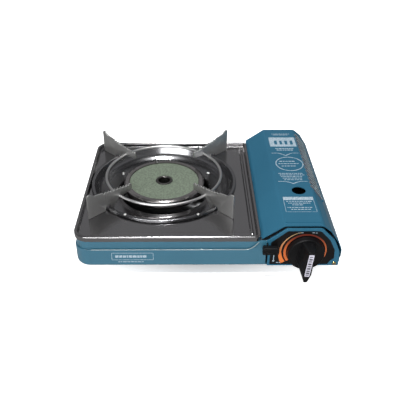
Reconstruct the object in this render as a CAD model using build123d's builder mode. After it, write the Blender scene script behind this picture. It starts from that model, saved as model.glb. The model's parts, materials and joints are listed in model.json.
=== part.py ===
"""Table-top camping stove for one gas cartridge, with a ceramic burner.

Frame: +Z up, the feet stand on z = 0, +X runs along the long side towards the
cartridge bay, -Y is the front with the control knob. Millimetres.
"""

from build123d import *
import math
import os

os.makedirs("parts", exist_ok=True)

# --- driving dimensions -------------------------------------------------------
SHEET = 1.0                # thickness of the painted steel sheet
CLEAR = 0.5                # gap left round pieces that move

LEFT_X = -175.0            # outer faces of the casing
RIGHT_X = 174.5
FRONT_Y = -121.5
BACK_Y = 153.0
CORNER_LEFT = 20.0         # plan radius of the two corners beside the burner
CORNER_RIGHT = 8.0
LID_SWING_ROOM = 2.5       # room beside that corner for the lid's end as it swings
THROUGH = 400.0            # length of cuts that pass right through the stove
BASE_EDGE_R = 6.0          # rounding along the bottom edge of the casing

FOOT_H = 10.0
FOOT_R = 9.5
FOOT_RECESS = 5.0          # depth of the screw's pocket in each foot
FOOT_RECESS_R = 3.6
FOOT_SCREW_R = 1.6
LEDGE_Z = 38.5             # step where the drawn neck starts
LEDGE_R = 1.6              # rounding along the outside of that step
NECK_IN = 1.8              # how far the neck stands back from the lower wall
NECK_TOP = 51.2            # underside of the top plate
PLATE_T = 0.8
PLATE_Z = NECK_TOP + PLATE_T
PLATE_RIGHT = 68.0
PLATE_BACK = 136.8
RIM_TOP = 58.6
RIM_W = 4.2

BURNER_X = -63.0
BURNER_Y = 25.1
WELL_BEAD_R = 104.7
WELL_BEAD_Z = 56.0
WELL_LIP_R = 67.0
CERAMIC_R = 51.4
CERAMIC_TOP = 53.0
CUP_BOTTOM = 38.0
CUP_R = 58.0

ARM_T = 2.2
ARM_IN = 62.0
ARM_OUT = 138.0
RING_R = 84.2
RING_WIRE_R = 2.0
RING_Z = 65.3

CAN_R = 33.0               # standard 66 mm cartridge
CAN_LENGTH = 184.0
CAN_X = 125.0
CAN_FRONT = -52.0          # valve end of the cartridge before it is pushed home
BAY_SLOT_W = 39.0          # floor slot in which the cartridge's belly hangs
BAY_SLOT_Y = 43.0
BAY_SLOT_LENGTH = 190.0
FLOOR_TOP = FOOT_H + SHEET
CAN_Z = FLOOR_TOP + math.sqrt(CAN_R**2 - (BAY_SLOT_W / 2) ** 2)

LID_LEFT = 68.5
LID_FRONT = -117.7
LID_HEM_Z = 53.0
LID_TOP = 73.2
HINGE_X = 172.5
HINGE_Z = 24.0
HINGE_R = 2.0
HINGE_PIN_R = 0.9
HINGE_Y = (-62.0, 92.0)    # middle of each hinge
LID_SIDE_Z = 22.5          # lower edge of the lid's hinged side
WALL_SIDE_Z = 21.2         # top of the casing wall below it

PANEL_BACK = FRONT_Y + 2.0
KNOB_X = 126.0
KNOB_Z = 34.5
SPINDLE_R = 3.0

LEVER_X = 76.0
LEVER_T = 1.4
LEVER_PIVOT_Y = -92.0
LEVER_PIVOT_Z = 24.0
LEVER_CRANK = 16.0         # height of the drive pin above the pivot
LEVER_PIN_R = 1.5
DIVIDER_X = 79.5

IGNITER_Y = -104.0
IGNITER_Z = 46.0


def sheet_band(points, radii, thickness):
    """Closed section of a sheet that follows a rounded polyline, on its left side."""
    with BuildSketch() as band:
        with BuildLine():
            FilletPolyline(*points, radius=radii)
            offset(amount=thickness, side=Side.LEFT)
        make_face()
    return band.sketch


def filled_outline(points, radii):
    """Filled closed outline with its own rounding at each corner."""
    with BuildSketch() as region:
        with BuildLine():
            FilletPolyline(*points, radius=radii, close=True)
        make_face()
    return region.sketch


def save(piece, name):
    """Name a finished piece and write it as its own STEP file."""
    piece.part.label = name
    export_step(piece.part, f"parts/{name}.step")


# --- plan outlines -------------------------------------------------------------
def casing_outline(inset):
    """Plan outline of the lower casing, moved inwards by inset."""
    x0, x1 = LEFT_X + inset, RIGHT_X - inset
    y0, y1 = FRONT_Y + inset, BACK_Y - inset
    left, right = CORNER_LEFT - inset, CORNER_RIGHT - inset
    corners = [(x0, y0), (x1, y0), (x1, y1), (x0, y1)]
    return filled_outline(corners, [left, right, right, left])


def neck_outline(inset):
    """Plan outline of the neck under the top plate, open towards the divider."""
    x0 = LEFT_X + NECK_IN + inset
    y0, y1 = FRONT_Y + NECK_IN + inset, PLATE_BACK - NECK_IN - inset
    r = CORNER_LEFT - NECK_IN - inset
    x1 = PLATE_RIGHT - NECK_IN
    corners = [(x0, y0), (x1, y0), (x1, y1), (x0, y1)]
    return filled_outline(corners, [r, 0, 0, r])


# --- lower casing ----------------------------------------------------------------
SHOULDER_X = (50.0, 66.0)  # the lower wall sweeps up to the plate corner between these
SLOT_LEFT = LEVER_X - 1.2
CHANNEL_W = 20.0           # width of the lever's channel
PANEL_OPENING_W = 120.0
INLET_CIRCLE_R = 70.0      # air inlets in the floor
INLET_SLOT = (24.0, 6.0)
VENT_Z = 27.0              # vents in the back wall
VENT_PITCH = 18.0
VENT_SLOT = (12.0, 5.0)

with BuildPart() as tub_void:
    with BuildSketch(Plane.XY.offset(FLOOR_TOP)):
        add(casing_outline(SHEET))
    extrude(amount=LEDGE_Z - SHEET - FLOOR_TOP)
    fillet(tub_void.edges().group_by(Axis.Z)[0], BASE_EDGE_R - SHEET)

with BuildPart() as casing:
    with BuildSketch(Plane.XY.offset(FOOT_H)):
        add(casing_outline(0))
    extrude(amount=LEDGE_Z - FOOT_H)
    fillet(casing.edges().group_by(Axis.Z)[0], BASE_EDGE_R)
    fillet(casing.edges().group_by(Axis.Z)[-1], LEDGE_R)
    with BuildSketch(Plane.XY.offset(LEDGE_Z - 2)):
        add(neck_outline(0))
    extrude(amount=NECK_TOP - LEDGE_Z + 2)
    with BuildSketch(Plane.XZ.offset(-FRONT_Y)):
        with BuildLine():
            foot = (SHOULDER_X[0], LEDGE_Z - 0.2)
            head = (SHOULDER_X[1], NECK_TOP)
            TangentArc(foot, head, tangent=(1, 0))
            Polyline(head, (SLOT_LEFT, NECK_TOP), (SLOT_LEFT, LEDGE_Z - 1.2), (foot[0], LEDGE_Z - 1.2), foot)
        make_face()
    extrude(amount=-(NECK_IN + SHEET))
    add(tub_void.part, mode=Mode.SUBTRACT)
    with BuildSketch(Plane.XY.offset(LEDGE_Z - SHEET - 1)):
        add(neck_outline(SHEET))
    extrude(amount=NECK_TOP, mode=Mode.SUBTRACT)
    # open top of the cartridge bay and of the lever's channel beside it
    bay_left = DIVIDER_X - SHEET
    channel_left = PLATE_RIGHT - NECK_IN - 3
    channel_front = FRONT_Y + NECK_IN + SHEET + 0.2
    with BuildSketch(Plane.XY.offset(LEDGE_Z - SHEET - 1)):
        with Locations((bay_left, PANEL_BACK)):
            Rectangle(RIGHT_X - SHEET - bay_left, BACK_Y - SHEET - PANEL_BACK, align=(Align.MIN, Align.MIN))
        with Locations((channel_left, channel_front)):
            Rectangle(CHANNEL_W, PLATE_BACK - NECK_IN - SHEET - channel_front, align=(Align.MIN, Align.MIN))
    extrude(amount=20, mode=Mode.SUBTRACT)
    with BuildSketch(Plane.XY.offset(WALL_SIDE_Z)):
        with Locations((RIGHT_X + 1, FRONT_Y - 1)):
            Rectangle(CORNER_RIGHT + LID_SWING_ROOM, THROUGH, align=(Align.MAX, Align.MIN))
    extrude(amount=40, mode=Mode.SUBTRACT)
    with BuildSketch(Plane.XY.offset(FOOT_H - 1)):
        with Locations((SLOT_LEFT, FRONT_Y - 1)):
            Rectangle(PANEL_OPENING_W, 1 + PANEL_BACK - FRONT_Y + SHEET, align=(Align.MIN, Align.MIN))
    extrude(amount=60, mode=Mode.SUBTRACT)
    # the cartridge hangs a little way through this slot
    with BuildSketch(Plane.XY.offset(FOOT_H - 1)):
        with Locations((CAN_X, BAY_SLOT_Y)):
            SlotOverall(BAY_SLOT_LENGTH, BAY_SLOT_W, rotation=90)
    extrude(amount=3, mode=Mode.SUBTRACT)
    # air inlets under the burner, in a ring, and a row in the back wall
    with BuildSketch(Plane.XY.offset(FOOT_H - 1)):
        with Locations((BURNER_X, BURNER_Y)):
            with PolarLocations(INLET_CIRCLE_R, 12):
                SlotOverall(*INLET_SLOT, rotation=90)
    extrude(amount=3, mode=Mode.SUBTRACT)
    with BuildSketch(Plane.XZ.offset(-BACK_Y - 1)):
        with Locations((BURNER_X, VENT_Z)):
            with GridLocations(VENT_PITCH, 1, 9, 1):
                SlotOverall(*VENT_SLOT, rotation=90)
    extrude(amount=3, mode=Mode.SUBTRACT)
save(casing, "casing")

# --- feet and their screws ---------------------------------------------------------
FOOT_PLACES = {
    "foot_front_left": (-140, -88),
    "foot_front_right": (142, -88),
    "foot_back_left": (-140, 118),
    "foot_back_right": (158, 118),
}
for foot_name, foot_place in FOOT_PLACES.items():
    with BuildPart() as foot:
        with BuildSketch():
            with Locations(foot_place):
                Circle(FOOT_R)
        extrude(amount=FOOT_H, taper=-4)
        fillet(foot.edges().group_by(Axis.Z)[0], 1)
        with BuildSketch():
            with Locations(foot_place):
                Circle(FOOT_RECESS_R)
        extrude(amount=FOOT_RECESS, mode=Mode.SUBTRACT)
        with BuildSketch(Plane.XY.offset(FOOT_RECESS)):
            with Locations(foot_place):
                Circle(FOOT_SCREW_R)
        extrude(amount=FOOT_RECESS, mode=Mode.SUBTRACT)
    save(foot, foot_name)

with BuildPart() as foot_screws:
    head_height = 1.8
    with BuildSketch(Plane.XY.offset(FOOT_RECESS - head_height)):
        with Locations(*FOOT_PLACES.values()):
            Circle(FOOT_RECESS_R - 0.4)
    extrude(amount=head_height)
    fillet(foot_screws.edges().group_by(Axis.Z)[0], 0.7)
    with BuildSketch(Plane.XY.offset(FOOT_RECESS)):
        with Locations(*FOOT_PLACES.values()):
            Circle(FOOT_SCREW_R - 0.1)
    extrude(amount=FOOT_H - FOOT_RECESS)
save(foot_screws, "foot_screws")

# --- divider between burner and cartridge ----------------------------------------------
DIVIDER_TOP = NECK_TOP - 0.2
TUBE_START = (99.0, -71.0, 25.0)
LINK_Z = LEVER_PIVOT_Z + LEVER_CRANK
LINK_OPENING = (40.0, 11.0)
LINK_OPENING_Y = 122.0
TUBE_HOLE_Y = -59.2
TUBE_HOLE_R = 12.5
LEAD_HOLE_R = 2.2
CORNER_RELIEF = 12.0
FLANGE_RELIEF = (5.0, 30.0)

with BuildPart() as divider:
    with BuildSketch(Plane.XZ.offset(-PANEL_BACK - SHEET)):
        fold = [(DIVIDER_X, FLOOR_TOP), (DIVIDER_X, DIVIDER_TOP), (67.5, DIVIDER_TOP)]
        add(sheet_band(fold, [1.5], SHEET))
    extrude(amount=-(BACK_Y - SHEET - PANEL_BACK - SHEET))
    with BuildSketch(Plane.YZ.offset(DIVIDER_X - 4)):
        with Locations((TUBE_HOLE_Y, TUBE_START[2])):
            Circle(TUBE_HOLE_R)
        with Locations((LINK_OPENING_Y, LINK_Z)):
            Rectangle(*LINK_OPENING)
    extrude(amount=8, mode=Mode.SUBTRACT)
    with BuildSketch(Plane.YZ.offset(DIVIDER_X - 4)):
        with Locations((BACK_Y - SHEET, FLOOR_TOP), (PANEL_BACK + SHEET, FLOOR_TOP)):
            Rectangle(CORNER_RELIEF, CORNER_RELIEF)
        with Locations((IGNITER_Y, IGNITER_Z)):
            Circle(LEAD_HOLE_R)
    extrude(amount=8, mode=Mode.SUBTRACT)
    # the flange stops where the plate stops, clear of the lid's short side wall
    with BuildSketch(Plane.XY.offset(DIVIDER_TOP - 2)):
        with Locations((PLATE_RIGHT - 2, PLATE_BACK - 0.3)):
            Rectangle(*FLANGE_RELIEF, align=(Align.MIN, Align.MIN))
    extrude(amount=4, mode=Mode.SUBTRACT)
save(divider, "divider")

# --- top plate ------------------------------------------------------------------------
def plate_outline(inset):
    """Plan outline of the stainless top plate, moved inwards by inset."""
    x0, x1 = LEFT_X + inset, PLATE_RIGHT - inset
    y0, y1 = FRONT_Y + inset, PLATE_BACK - inset
    left, right = CORNER_LEFT - inset, CORNER_RIGHT - inset * 0.5
    return filled_outline([(x0, y0), (x1, y0), (x1, y1), (x0, y1)], [left, right, right, left])


RIDGE_X = PLATE_RIGHT - 11.0
RIDGE_W = 3.0
RIDGE_H = 3.2

with BuildPart() as top_plate:
    with BuildSketch(Plane.XY.offset(NECK_TOP)):
        add(plate_outline(0))
    extrude(amount=RIM_TOP - NECK_TOP)
    fillet(top_plate.edges().group_by(Axis.Z)[-1], 2.0)
    with BuildSketch(Plane.XY.offset(PLATE_Z)):
        add(plate_outline(RIM_W))
    extrude(amount=RIM_TOP, mode=Mode.SUBTRACT)
    fillet(top_plate.edges().group_by(Axis.Z)[-1], 0.9)
    # pressed ridge beside the cartridge lid
    with BuildSketch(Plane.XY.offset(PLATE_Z)):
        with Locations((RIDGE_X, (FRONT_Y + PLATE_BACK) / 2)):
            Rectangle(RIDGE_W, PLATE_BACK - FRONT_Y - 2 * RIM_W - 2)
    extrude(amount=RIDGE_H, taper=18)
    with BuildSketch(Plane.XY.offset(NECK_TOP - 1)):
        with Locations((BURNER_X, BURNER_Y)):
            Circle(WELL_BEAD_R - 3)
    extrude(amount=3, mode=Mode.SUBTRACT)
save(top_plate, "top_plate")

# --- burner well, a deep drawn ring with a rolled outer bead -----------------------------
WELL_AXIS = Axis((BURNER_X, BURNER_Y, 0), (0, 0, 1))
BURNER_PLANE = Plane(origin=(BURNER_X, BURNER_Y, 0), x_dir=(1, 0, 0), z_dir=(0, -1, 0))

WELL_KNEE_Z = 43.0         # where the steep wall of the well turns into its floor
WELL_SCREW_R = 82.0
WELL_SCREW_HOLE_R = 1.6
WELL_SCREWS = [
    (WELL_SCREW_R * math.cos(math.radians(a)), WELL_SCREW_R * math.sin(math.radians(a)))
    for a in (36, 144, 241.5, 298.5)
]

with BuildPart() as burner_well:
    with BuildSketch(BURNER_PLANE):
        with BuildLine():
            FilletPolyline(
                (WELL_BEAD_R + 2.6, PLATE_Z + PLATE_T),
                (WELL_BEAD_R + 1.9, WELL_BEAD_Z),
                (WELL_BEAD_R - 2.2, WELL_BEAD_Z),
                (WELL_BEAD_R - 8.5, WELL_KNEE_Z),
                (WELL_BEAD_R - 18.0, 37.0),
                (WELL_LIP_R + 4, 35.2),
                (WELL_LIP_R, 38.0),
                radius=[1.2, 1.6, 14, 8, 2],
            )
            offset(amount=PLATE_T, side=Side.LEFT)
        make_face()
    revolve(axis=WELL_AXIS)
    with BuildSketch(Plane.XY.offset(30)):
        with Locations((BURNER_X, BURNER_Y)):
            with Locations(*WELL_SCREWS):
                Circle(WELL_SCREW_HOLE_R)
    extrude(amount=12, mode=Mode.SUBTRACT)
save(burner_well, "burner_well")

# --- burner head ------------------------------------------------------------------------
with BuildPart() as burner_cup:
    with BuildSketch(BURNER_PLANE):
        with BuildLine():
            FilletPolyline(
                (8.2, CUP_BOTTOM),
                (CUP_R, CUP_BOTTOM),
                (CUP_R, 50.0),
                (CUP_R + 2.0, 52.6),
                (CUP_R - 1.0, 54.6),
                (CERAMIC_R + 0.3, 54.0),
                radius=[4, 1, 0.9, 0.8],
            )
            offset(amount=SHEET, side=Side.LEFT)
        make_face()
    revolve(axis=WELL_AXIS)
save(burner_cup, "burner_cup")

CERAMIC_T = 12.0
CENTRE_HOLE_R = 9.6
EYELET_BORE_R = 8.6
with BuildPart() as ceramic_plate:
    with BuildSketch(Plane.XY.offset(CERAMIC_TOP - CERAMIC_T)):
        with Locations((BURNER_X, BURNER_Y)):
            Circle(CERAMIC_R - 0.2)
            Circle(CENTRE_HOLE_R, mode=Mode.SUBTRACT)
    extrude(amount=CERAMIC_T)
save(ceramic_plate, "ceramic_plate")

with BuildPart() as centre_eyelet:
    with BuildSketch(BURNER_PLANE):
        with BuildLine():
            FilletPolyline(
                (EYELET_BORE_R, CERAMIC_TOP - CERAMIC_T - 1),
                (EYELET_BORE_R, CERAMIC_TOP + 1.5),
                (11.8, CERAMIC_TOP + 1.4),
                (12.6, CERAMIC_TOP + 0.6),
                radius=[1.2, 0.5],
            )
            offset(amount=0.6, side=Side.RIGHT)
        make_face()
    revolve(axis=WELL_AXIS)
save(centre_eyelet, "centre_eyelet")

# retaining ring that carries the ceramic inside the cup
SEAT_T = 2.0
with BuildPart() as ceramic_seat:
    with BuildSketch(Plane.XY.offset(CERAMIC_TOP - CERAMIC_T - SEAT_T)):
        with Locations((BURNER_X, BURNER_Y)):
            Circle(CUP_R - 6)
            Circle(CUP_R - 11, mode=Mode.SUBTRACT)
    extrude(amount=SEAT_T)
save(ceramic_seat, "ceramic_seat")

# cross strap under the cup, with two legs down to the casing floor
STRAP_SPAN = 66.0
STRAP_W = 18.0
STRAP_HOLE_R = 8.3
STRAP_PLANE = Plane(origin=(BURNER_X, BURNER_Y - STRAP_W / 2, 0), x_dir=(1, 0, 0), z_dir=(0, -1, 0))
with BuildPart() as burner_strap:
    with BuildSketch(STRAP_PLANE):
        strap = [
            (-STRAP_SPAN - 10, FLOOR_TOP),
            (-STRAP_SPAN, FLOOR_TOP),
            (-STRAP_SPAN + 6, CUP_BOTTOM - 2),
            (STRAP_SPAN - 6, CUP_BOTTOM - 2),
            (STRAP_SPAN, FLOOR_TOP),
            (STRAP_SPAN + 10, FLOOR_TOP),
        ]
        add(sheet_band(strap, [2, 3, 3, 2], 1.5))
    extrude(amount=-STRAP_W)
    with BuildSketch(Plane.XY.offset(CUP_BOTTOM - 6)):
        with Locations((BURNER_X, BURNER_Y)):
            Circle(STRAP_HOLE_R)
    extrude(amount=10, mode=Mode.SUBTRACT)
save(burner_strap, "burner_strap")

# --- mixing tube: straight run from the jet, then up into the cup -------------------------
TUBE_END = (BURNER_X, BURNER_Y, TUBE_START[2])
TUBE_RUN = math.hypot(TUBE_END[0] - TUBE_START[0], TUBE_END[1] - TUBE_START[1])
TUBE_DIR = ((TUBE_END[0] - TUBE_START[0]) / TUBE_RUN, (TUBE_END[1] - TUBE_START[1]) / TUBE_RUN, 0)
TUBE_SIDE = (TUBE_DIR[1], -TUBE_DIR[0], 0)
TUBE_PLANE = Plane(origin=TUBE_START, x_dir=TUBE_DIR, z_dir=TUBE_SIDE)
TUBE_R = 8.0
TUBE_RISE = CUP_BOTTOM + 1.0 - TUBE_START[2]

with BuildPart() as mixing_tube:
    with BuildLine(TUBE_PLANE) as tube_path:
        FilletPolyline((0, 0), (TUBE_RUN, 0), (TUBE_RUN, TUBE_RISE), radius=11)
    with BuildSketch(Plane(origin=TUBE_START, z_dir=TUBE_DIR)):
        Circle(TUBE_R)
        Circle(TUBE_R - SHEET, mode=Mode.SUBTRACT)
    sweep()
save(mixing_tube, "mixing_tube")

# --- pan support: four upright arms on a wire ring ------------------------------------------
ARM_PROFILE = [
    (ARM_IN, 66.0),
    (ARM_IN, 76.0),
    (ARM_IN + 50, 80.5),
    (ARM_OUT - 12, 83.5),
    (ARM_OUT - 7, 88.5),
    (ARM_OUT, 88.5),
    (ARM_OUT, PLATE_Z + 0.35),
    (WELL_BEAD_R + 5.5, PLATE_Z + 0.35),
    (WELL_BEAD_R + 4.2, 58.0),
    (WELL_BEAD_R - 3.6, 58.0),
    (WELL_BEAD_R - 5.2, 50.5),
    (WELL_BEAD_R - 8.6, 50.5),
    (86.0, 64.0),
]
ARM_RADII = [2.5, 4, 30, 10, 2.5, 3, 0.5, 0.8, 0.8, 0.8, 0.8, 1, 6]
ARM_ANGLES = {
    "pan_arm_front_left": 225,
    "pan_arm_front_right": 315,
    "pan_arm_back_right": 45,
    "pan_arm_back_left": 136.5,
}
TOOTH_PITCH = 5.2
TOOTH_R = 1.6
TOOTH_FIRST = (ARM_IN + 6, 76.9)
TOOTH_RISE = 0.46          # the top edge climbs this much from one notch to the next
for arm_name, arm_angle in ARM_ANGLES.items():
    turn = math.radians(arm_angle)
    arm_dir = (math.cos(turn), math.sin(turn), 0)
    arm_side = (math.sin(turn), -math.cos(turn), 0)
    arm_plane = Plane(origin=(BURNER_X, BURNER_Y, 0), x_dir=arm_dir, z_dir=arm_side)
    with BuildPart() as pan_arm:
        with BuildSketch(arm_plane):
            add(filled_outline(ARM_PROFILE, ARM_RADII))
            # small notches along the top edge keep a pan from sliding
            teeth = [(TOOTH_FIRST[0] + i * TOOTH_PITCH, TOOTH_FIRST[1] + i * TOOTH_RISE) for i in range(9)]
            with Locations(*teeth):
                Circle(TOOTH_R, mode=Mode.SUBTRACT)
            # the wire ring passes through a notch in the lower edge
            with Locations((RING_R, RING_Z)):
                Circle(RING_WIRE_R, mode=Mode.SUBTRACT)
            with Locations((RING_R, RING_Z - 3)):
                Rectangle(2 * RING_WIRE_R, 6, mode=Mode.SUBTRACT)
        extrude(amount=ARM_T / 2, both=True)
    save(pan_arm, arm_name)

with BuildPart() as support_ring:
    with BuildSketch(BURNER_PLANE):
        with Locations((RING_R, RING_Z)):
            Circle(RING_WIRE_R)
    revolve(axis=WELL_AXIS)
save(support_ring, "support_ring")

# screws in the bottom of the well
with BuildPart() as well_screws:
    with BuildSketch(Plane.XY.offset(36.9)):
        with Locations((BURNER_X, BURNER_Y)):
            with Locations(*WELL_SCREWS):
                Circle(3.0)
    extrude(amount=1.8)
    fillet(well_screws.edges().group_by(Axis.Z)[-1], 0.9)
    with BuildSketch(Plane.XY.offset(31)):
        with Locations((BURNER_X, BURNER_Y)):
            with Locations(*WELL_SCREWS):
                Circle(1.5)
    extrude(amount=6)
save(well_screws, "well_screws")

# bright rivets on the crown of the well's bead
RIVET_R = 1.9
RIVET_H = 1.3
RIVET_CIRCLE_R = WELL_BEAD_R - 0.2
RIVETS = [
    (RIVET_CIRCLE_R * math.cos(math.radians(a)), RIVET_CIRCLE_R * math.sin(math.radians(a)))
    for a in (242, 298.5)
]
with BuildPart() as well_rivets:
    with BuildSketch(Plane.XY.offset(WELL_BEAD_Z)):
        with Locations((BURNER_X, BURNER_Y)):
            with Locations(*RIVETS):
                Circle(RIVET_R)
    extrude(amount=RIVET_H)
    fillet(well_rivets.edges().group_by(Axis.Z)[-1], 0.8)
save(well_rivets, "well_rivets")

# --- front of the cartridge bay ------------------------------------------------------------
BULKHEAD = [
    (169.0, FLOOR_TOP + 2),
    (169.0, 24.0),
    (167.5, 33.0),
    (159.5, 51.5),
    (143.5, 68.0),
    (101.0, 68.0),
    (DIVIDER_X + 0.6, 51.0),
    (DIVIDER_X + 0.6, FLOOR_TOP + 2),
]
SPINDLE_HOLE_R = 5.5
FRONT_PLANE = Plane.XZ.offset(-PANEL_BACK)

with BuildPart() as bay_bulkhead:
    with BuildSketch(FRONT_PLANE):
        add(filled_outline(BULKHEAD, [1, 8, 12, 12, 7, 4, 1, 1]))
        with Locations((KNOB_X, KNOB_Z)):
            Circle(SPINDLE_HOLE_R, mode=Mode.SUBTRACT)
    extrude(amount=-SHEET)
    with BuildSketch(FRONT_PLANE.offset(-SHEET)):
        add(sheet_band(BULKHEAD, [8, 12, 12, 7, 4, 1], SHEET))
    extrude(amount=-11)
save(bay_bulkhead, "bay_bulkhead")

FRAME = [
    (77.4, 11.2),
    (77.4, 47.5),
    (75.2, 49.5),
    (75.2, 51.8),
    (99.5, 71.2),
    (145.0, 71.2),
    (162.5, 53.0),
    (171.0, 34.0),
    (172.0, 11.2),
]
WINDOW = [
    (80.4, 13.2),
    (80.4, 49.9),
    (101.0, 67.6),
    (143.0, 67.6),
    (156.5, 53.0),
    (164.2, 37.0),
    (165.0, 22.5),
    (160.5, 19.5),
    (157.2, 13.2),
]
WINDOW_RADII = [1, 2, 3, 7, 12, 10, 2.5, 3, 1]
PANEL_SCREW = (166.0, 15.0)

with BuildPart() as panel_frame:
    with BuildSketch(FRONT_PLANE):
        add(filled_outline(FRAME, [0.5, 0.5, 0.5, 0.8, 4, 8, 14, 14, 2]))
        add(filled_outline(WINDOW, WINDOW_RADII), mode=Mode.SUBTRACT)
        with Locations(PANEL_SCREW):
            Circle(1.6, mode=Mode.SUBTRACT)
    extrude(amount=PANEL_BACK - FRONT_Y)
    fillet(panel_frame.faces().sort_by(Axis.Y)[0].outer_wire().edges(), 0.4)
save(panel_frame, "panel_frame")

with BuildPart() as dial_inlay:
    with BuildSketch(FRONT_PLANE):
        add(filled_outline(WINDOW, WINDOW_RADII))
        with Locations((KNOB_X, KNOB_Z)):
            Circle(SPINDLE_HOLE_R, mode=Mode.SUBTRACT)
    extrude(amount=PANEL_BACK - FRONT_Y - 0.6)
save(dial_inlay, "dial_inlay")

with BuildPart() as panel_screw:
    with BuildSketch(Plane.XZ.offset(-FRONT_Y)):
        with Locations(PANEL_SCREW):
            Circle(2.6)
    extrude(amount=1.3)
    fillet(panel_screw.edges().group_by(Axis.Y)[0], 0.7)
    with BuildSketch(Plane.XZ.offset(-FRONT_Y)):
        with Locations(PANEL_SCREW):
            Circle(1.5)
    extrude(amount=FRONT_Y - PANEL_BACK)
save(panel_screw, "panel_screw")

# --- gas governor -----------------------------------------------------------------------------
BLOCK_FRONT = -100.0
BLOCK_BACK = -74.0
BLOCK_SIDE = 28.0
BLOCK_Z = 36.0
BLOCK_MID_Y = (BLOCK_FRONT + BLOCK_BACK) / 2
BOSS = 12.0                # length of the boss round the spindle
FLANGE_T = 11.0            # length of the round flange behind the cartridge valve
NOSE_END = -58.0
SOCKET_R = 2.4
SOCKET_DEPTH = 6.0


def tube_plane(distance):
    """Plane square to the mixing tube's axis, at a distance along it from the tube's mouth."""
    origin = (TUBE_START[0] + TUBE_DIR[0] * distance, TUBE_START[1] + TUBE_DIR[1] * distance, TUBE_START[2])
    return Plane(origin=origin, z_dir=TUBE_DIR)


with BuildPart() as governor_body:
    with BuildSketch(Plane.XZ.offset(-BLOCK_FRONT)):
        with Locations((KNOB_X, BLOCK_Z)):
            RectangleRounded(BLOCK_SIDE, BLOCK_SIDE, 4)
    extrude(amount=BLOCK_FRONT - BLOCK_BACK)
    with BuildSketch(Plane.XZ.offset(-BLOCK_FRONT)):
        with Locations((KNOB_X, KNOB_Z)):
            Circle(9)
    extrude(amount=BOSS)
    with BuildSketch(Plane.XZ.offset(-BLOCK_BACK)):
        with Locations((CAN_X, CAN_Z)):
            Circle(10)
    extrude(amount=-FLANGE_T)
    with BuildSketch(Plane.XZ.offset(-BLOCK_BACK - FLANGE_T)):
        with Locations((CAN_X, CAN_Z)):
            Circle(4.4)
    extrude(amount=BLOCK_BACK + FLANGE_T - NOSE_END)
    with BuildSketch(tube_plane(-24)):
        Circle(6)
    extrude(amount=14)
    with BuildSketch(Plane.XZ.offset(-NOSE_END)):
        with Locations((CAN_X, CAN_Z)):
            Circle(SOCKET_R)
    extrude(amount=SOCKET_DEPTH, mode=Mode.SUBTRACT)
    with BuildSketch(Plane.XZ.offset(-BLOCK_FRONT + BOSS)):
        with Locations((KNOB_X, KNOB_Z)):
            Circle(SPINDLE_R + 0.05)
    extrude(amount=-20, mode=Mode.SUBTRACT)
save(governor_body, "governor_body")

CAP_R = 16.0
CAP_FLANGE_T = 3.0
with BuildPart() as governor_cap:
    with BuildSketch(Plane.YZ.offset(KNOB_X + BLOCK_SIDE / 2)):
        with Locations((BLOCK_MID_Y, BLOCK_Z)):
            Circle(CAP_R)
    extrude(amount=CAP_FLANGE_T)
    with BuildSketch(Plane.YZ.offset(KNOB_X + BLOCK_SIDE / 2 + CAP_FLANGE_T)):
        with Locations((BLOCK_MID_Y, BLOCK_Z)):
            Circle(CAP_R - 3.5)
    extrude(amount=5, taper=25)
    fillet(governor_cap.edges().group_by(Axis.X)[-1], 1)
save(governor_cap, "governor_cap")

SADDLE_T = 1.5
with BuildPart() as governor_bracket:
    with BuildSketch(Plane.XZ.offset(-BLOCK_FRONT)):
        with Locations((KNOB_X + 4, FLOOR_TOP)):
            Rectangle(26, SADDLE_T, align=(Align.CENTER, Align.MIN))
            Rectangle(16, BLOCK_Z - BLOCK_SIDE / 2 - FLOOR_TOP, align=(Align.CENTER, Align.MIN))
    extrude(amount=BLOCK_FRONT - BLOCK_BACK)
    with BuildSketch(Plane.YZ.offset(KNOB_X - 20)):
        with Locations((BLOCK_MID_Y, FLOOR_TOP + SADDLE_T)):
            Rectangle(18, 7.5, align=(Align.CENTER, Align.MIN))
    extrude(amount=40, mode=Mode.SUBTRACT)
save(governor_bracket, "governor_bracket")

with BuildPart() as gas_jet:
    with BuildSketch(tube_plane(-10)):
        RegularPolygon(4.6, 6)
    extrude(amount=4)
    with BuildSketch(tube_plane(-6)):
        Circle(3.4)
    extrude(amount=5, taper=12)
    with BuildSketch(tube_plane(-1)):
        Circle(0.6)
    extrude(amount=-6, mode=Mode.SUBTRACT)
save(gas_jet, "gas_jet")

# plate that the cartridge's collar meets, with a tab at the top that enters its notch
COLLAR_Y = -62.6
COLLAR_SIDE = 46.0
COLLAR_T = 1.2
with BuildPart() as collar_plate:
    with BuildSketch(Plane.XZ.offset(-COLLAR_Y)):
        with Locations((CAN_X, CAN_Z)):
            RectangleRounded(COLLAR_SIDE, COLLAR_SIDE, 8)
            Circle(10, mode=Mode.SUBTRACT)
        with Locations((CAN_X, FLOOR_TOP)):
            Rectangle(30, 6, align=(Align.CENTER, Align.MIN))
    extrude(amount=-COLLAR_T)
    with BuildSketch(Plane.XZ.offset(-COLLAR_Y - COLLAR_T)):
        with Locations((CAN_X, CAN_Z + 15)):
            Rectangle(6, 1.5)
    extrude(amount=-5)
save(collar_plate, "collar_plate")

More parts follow.
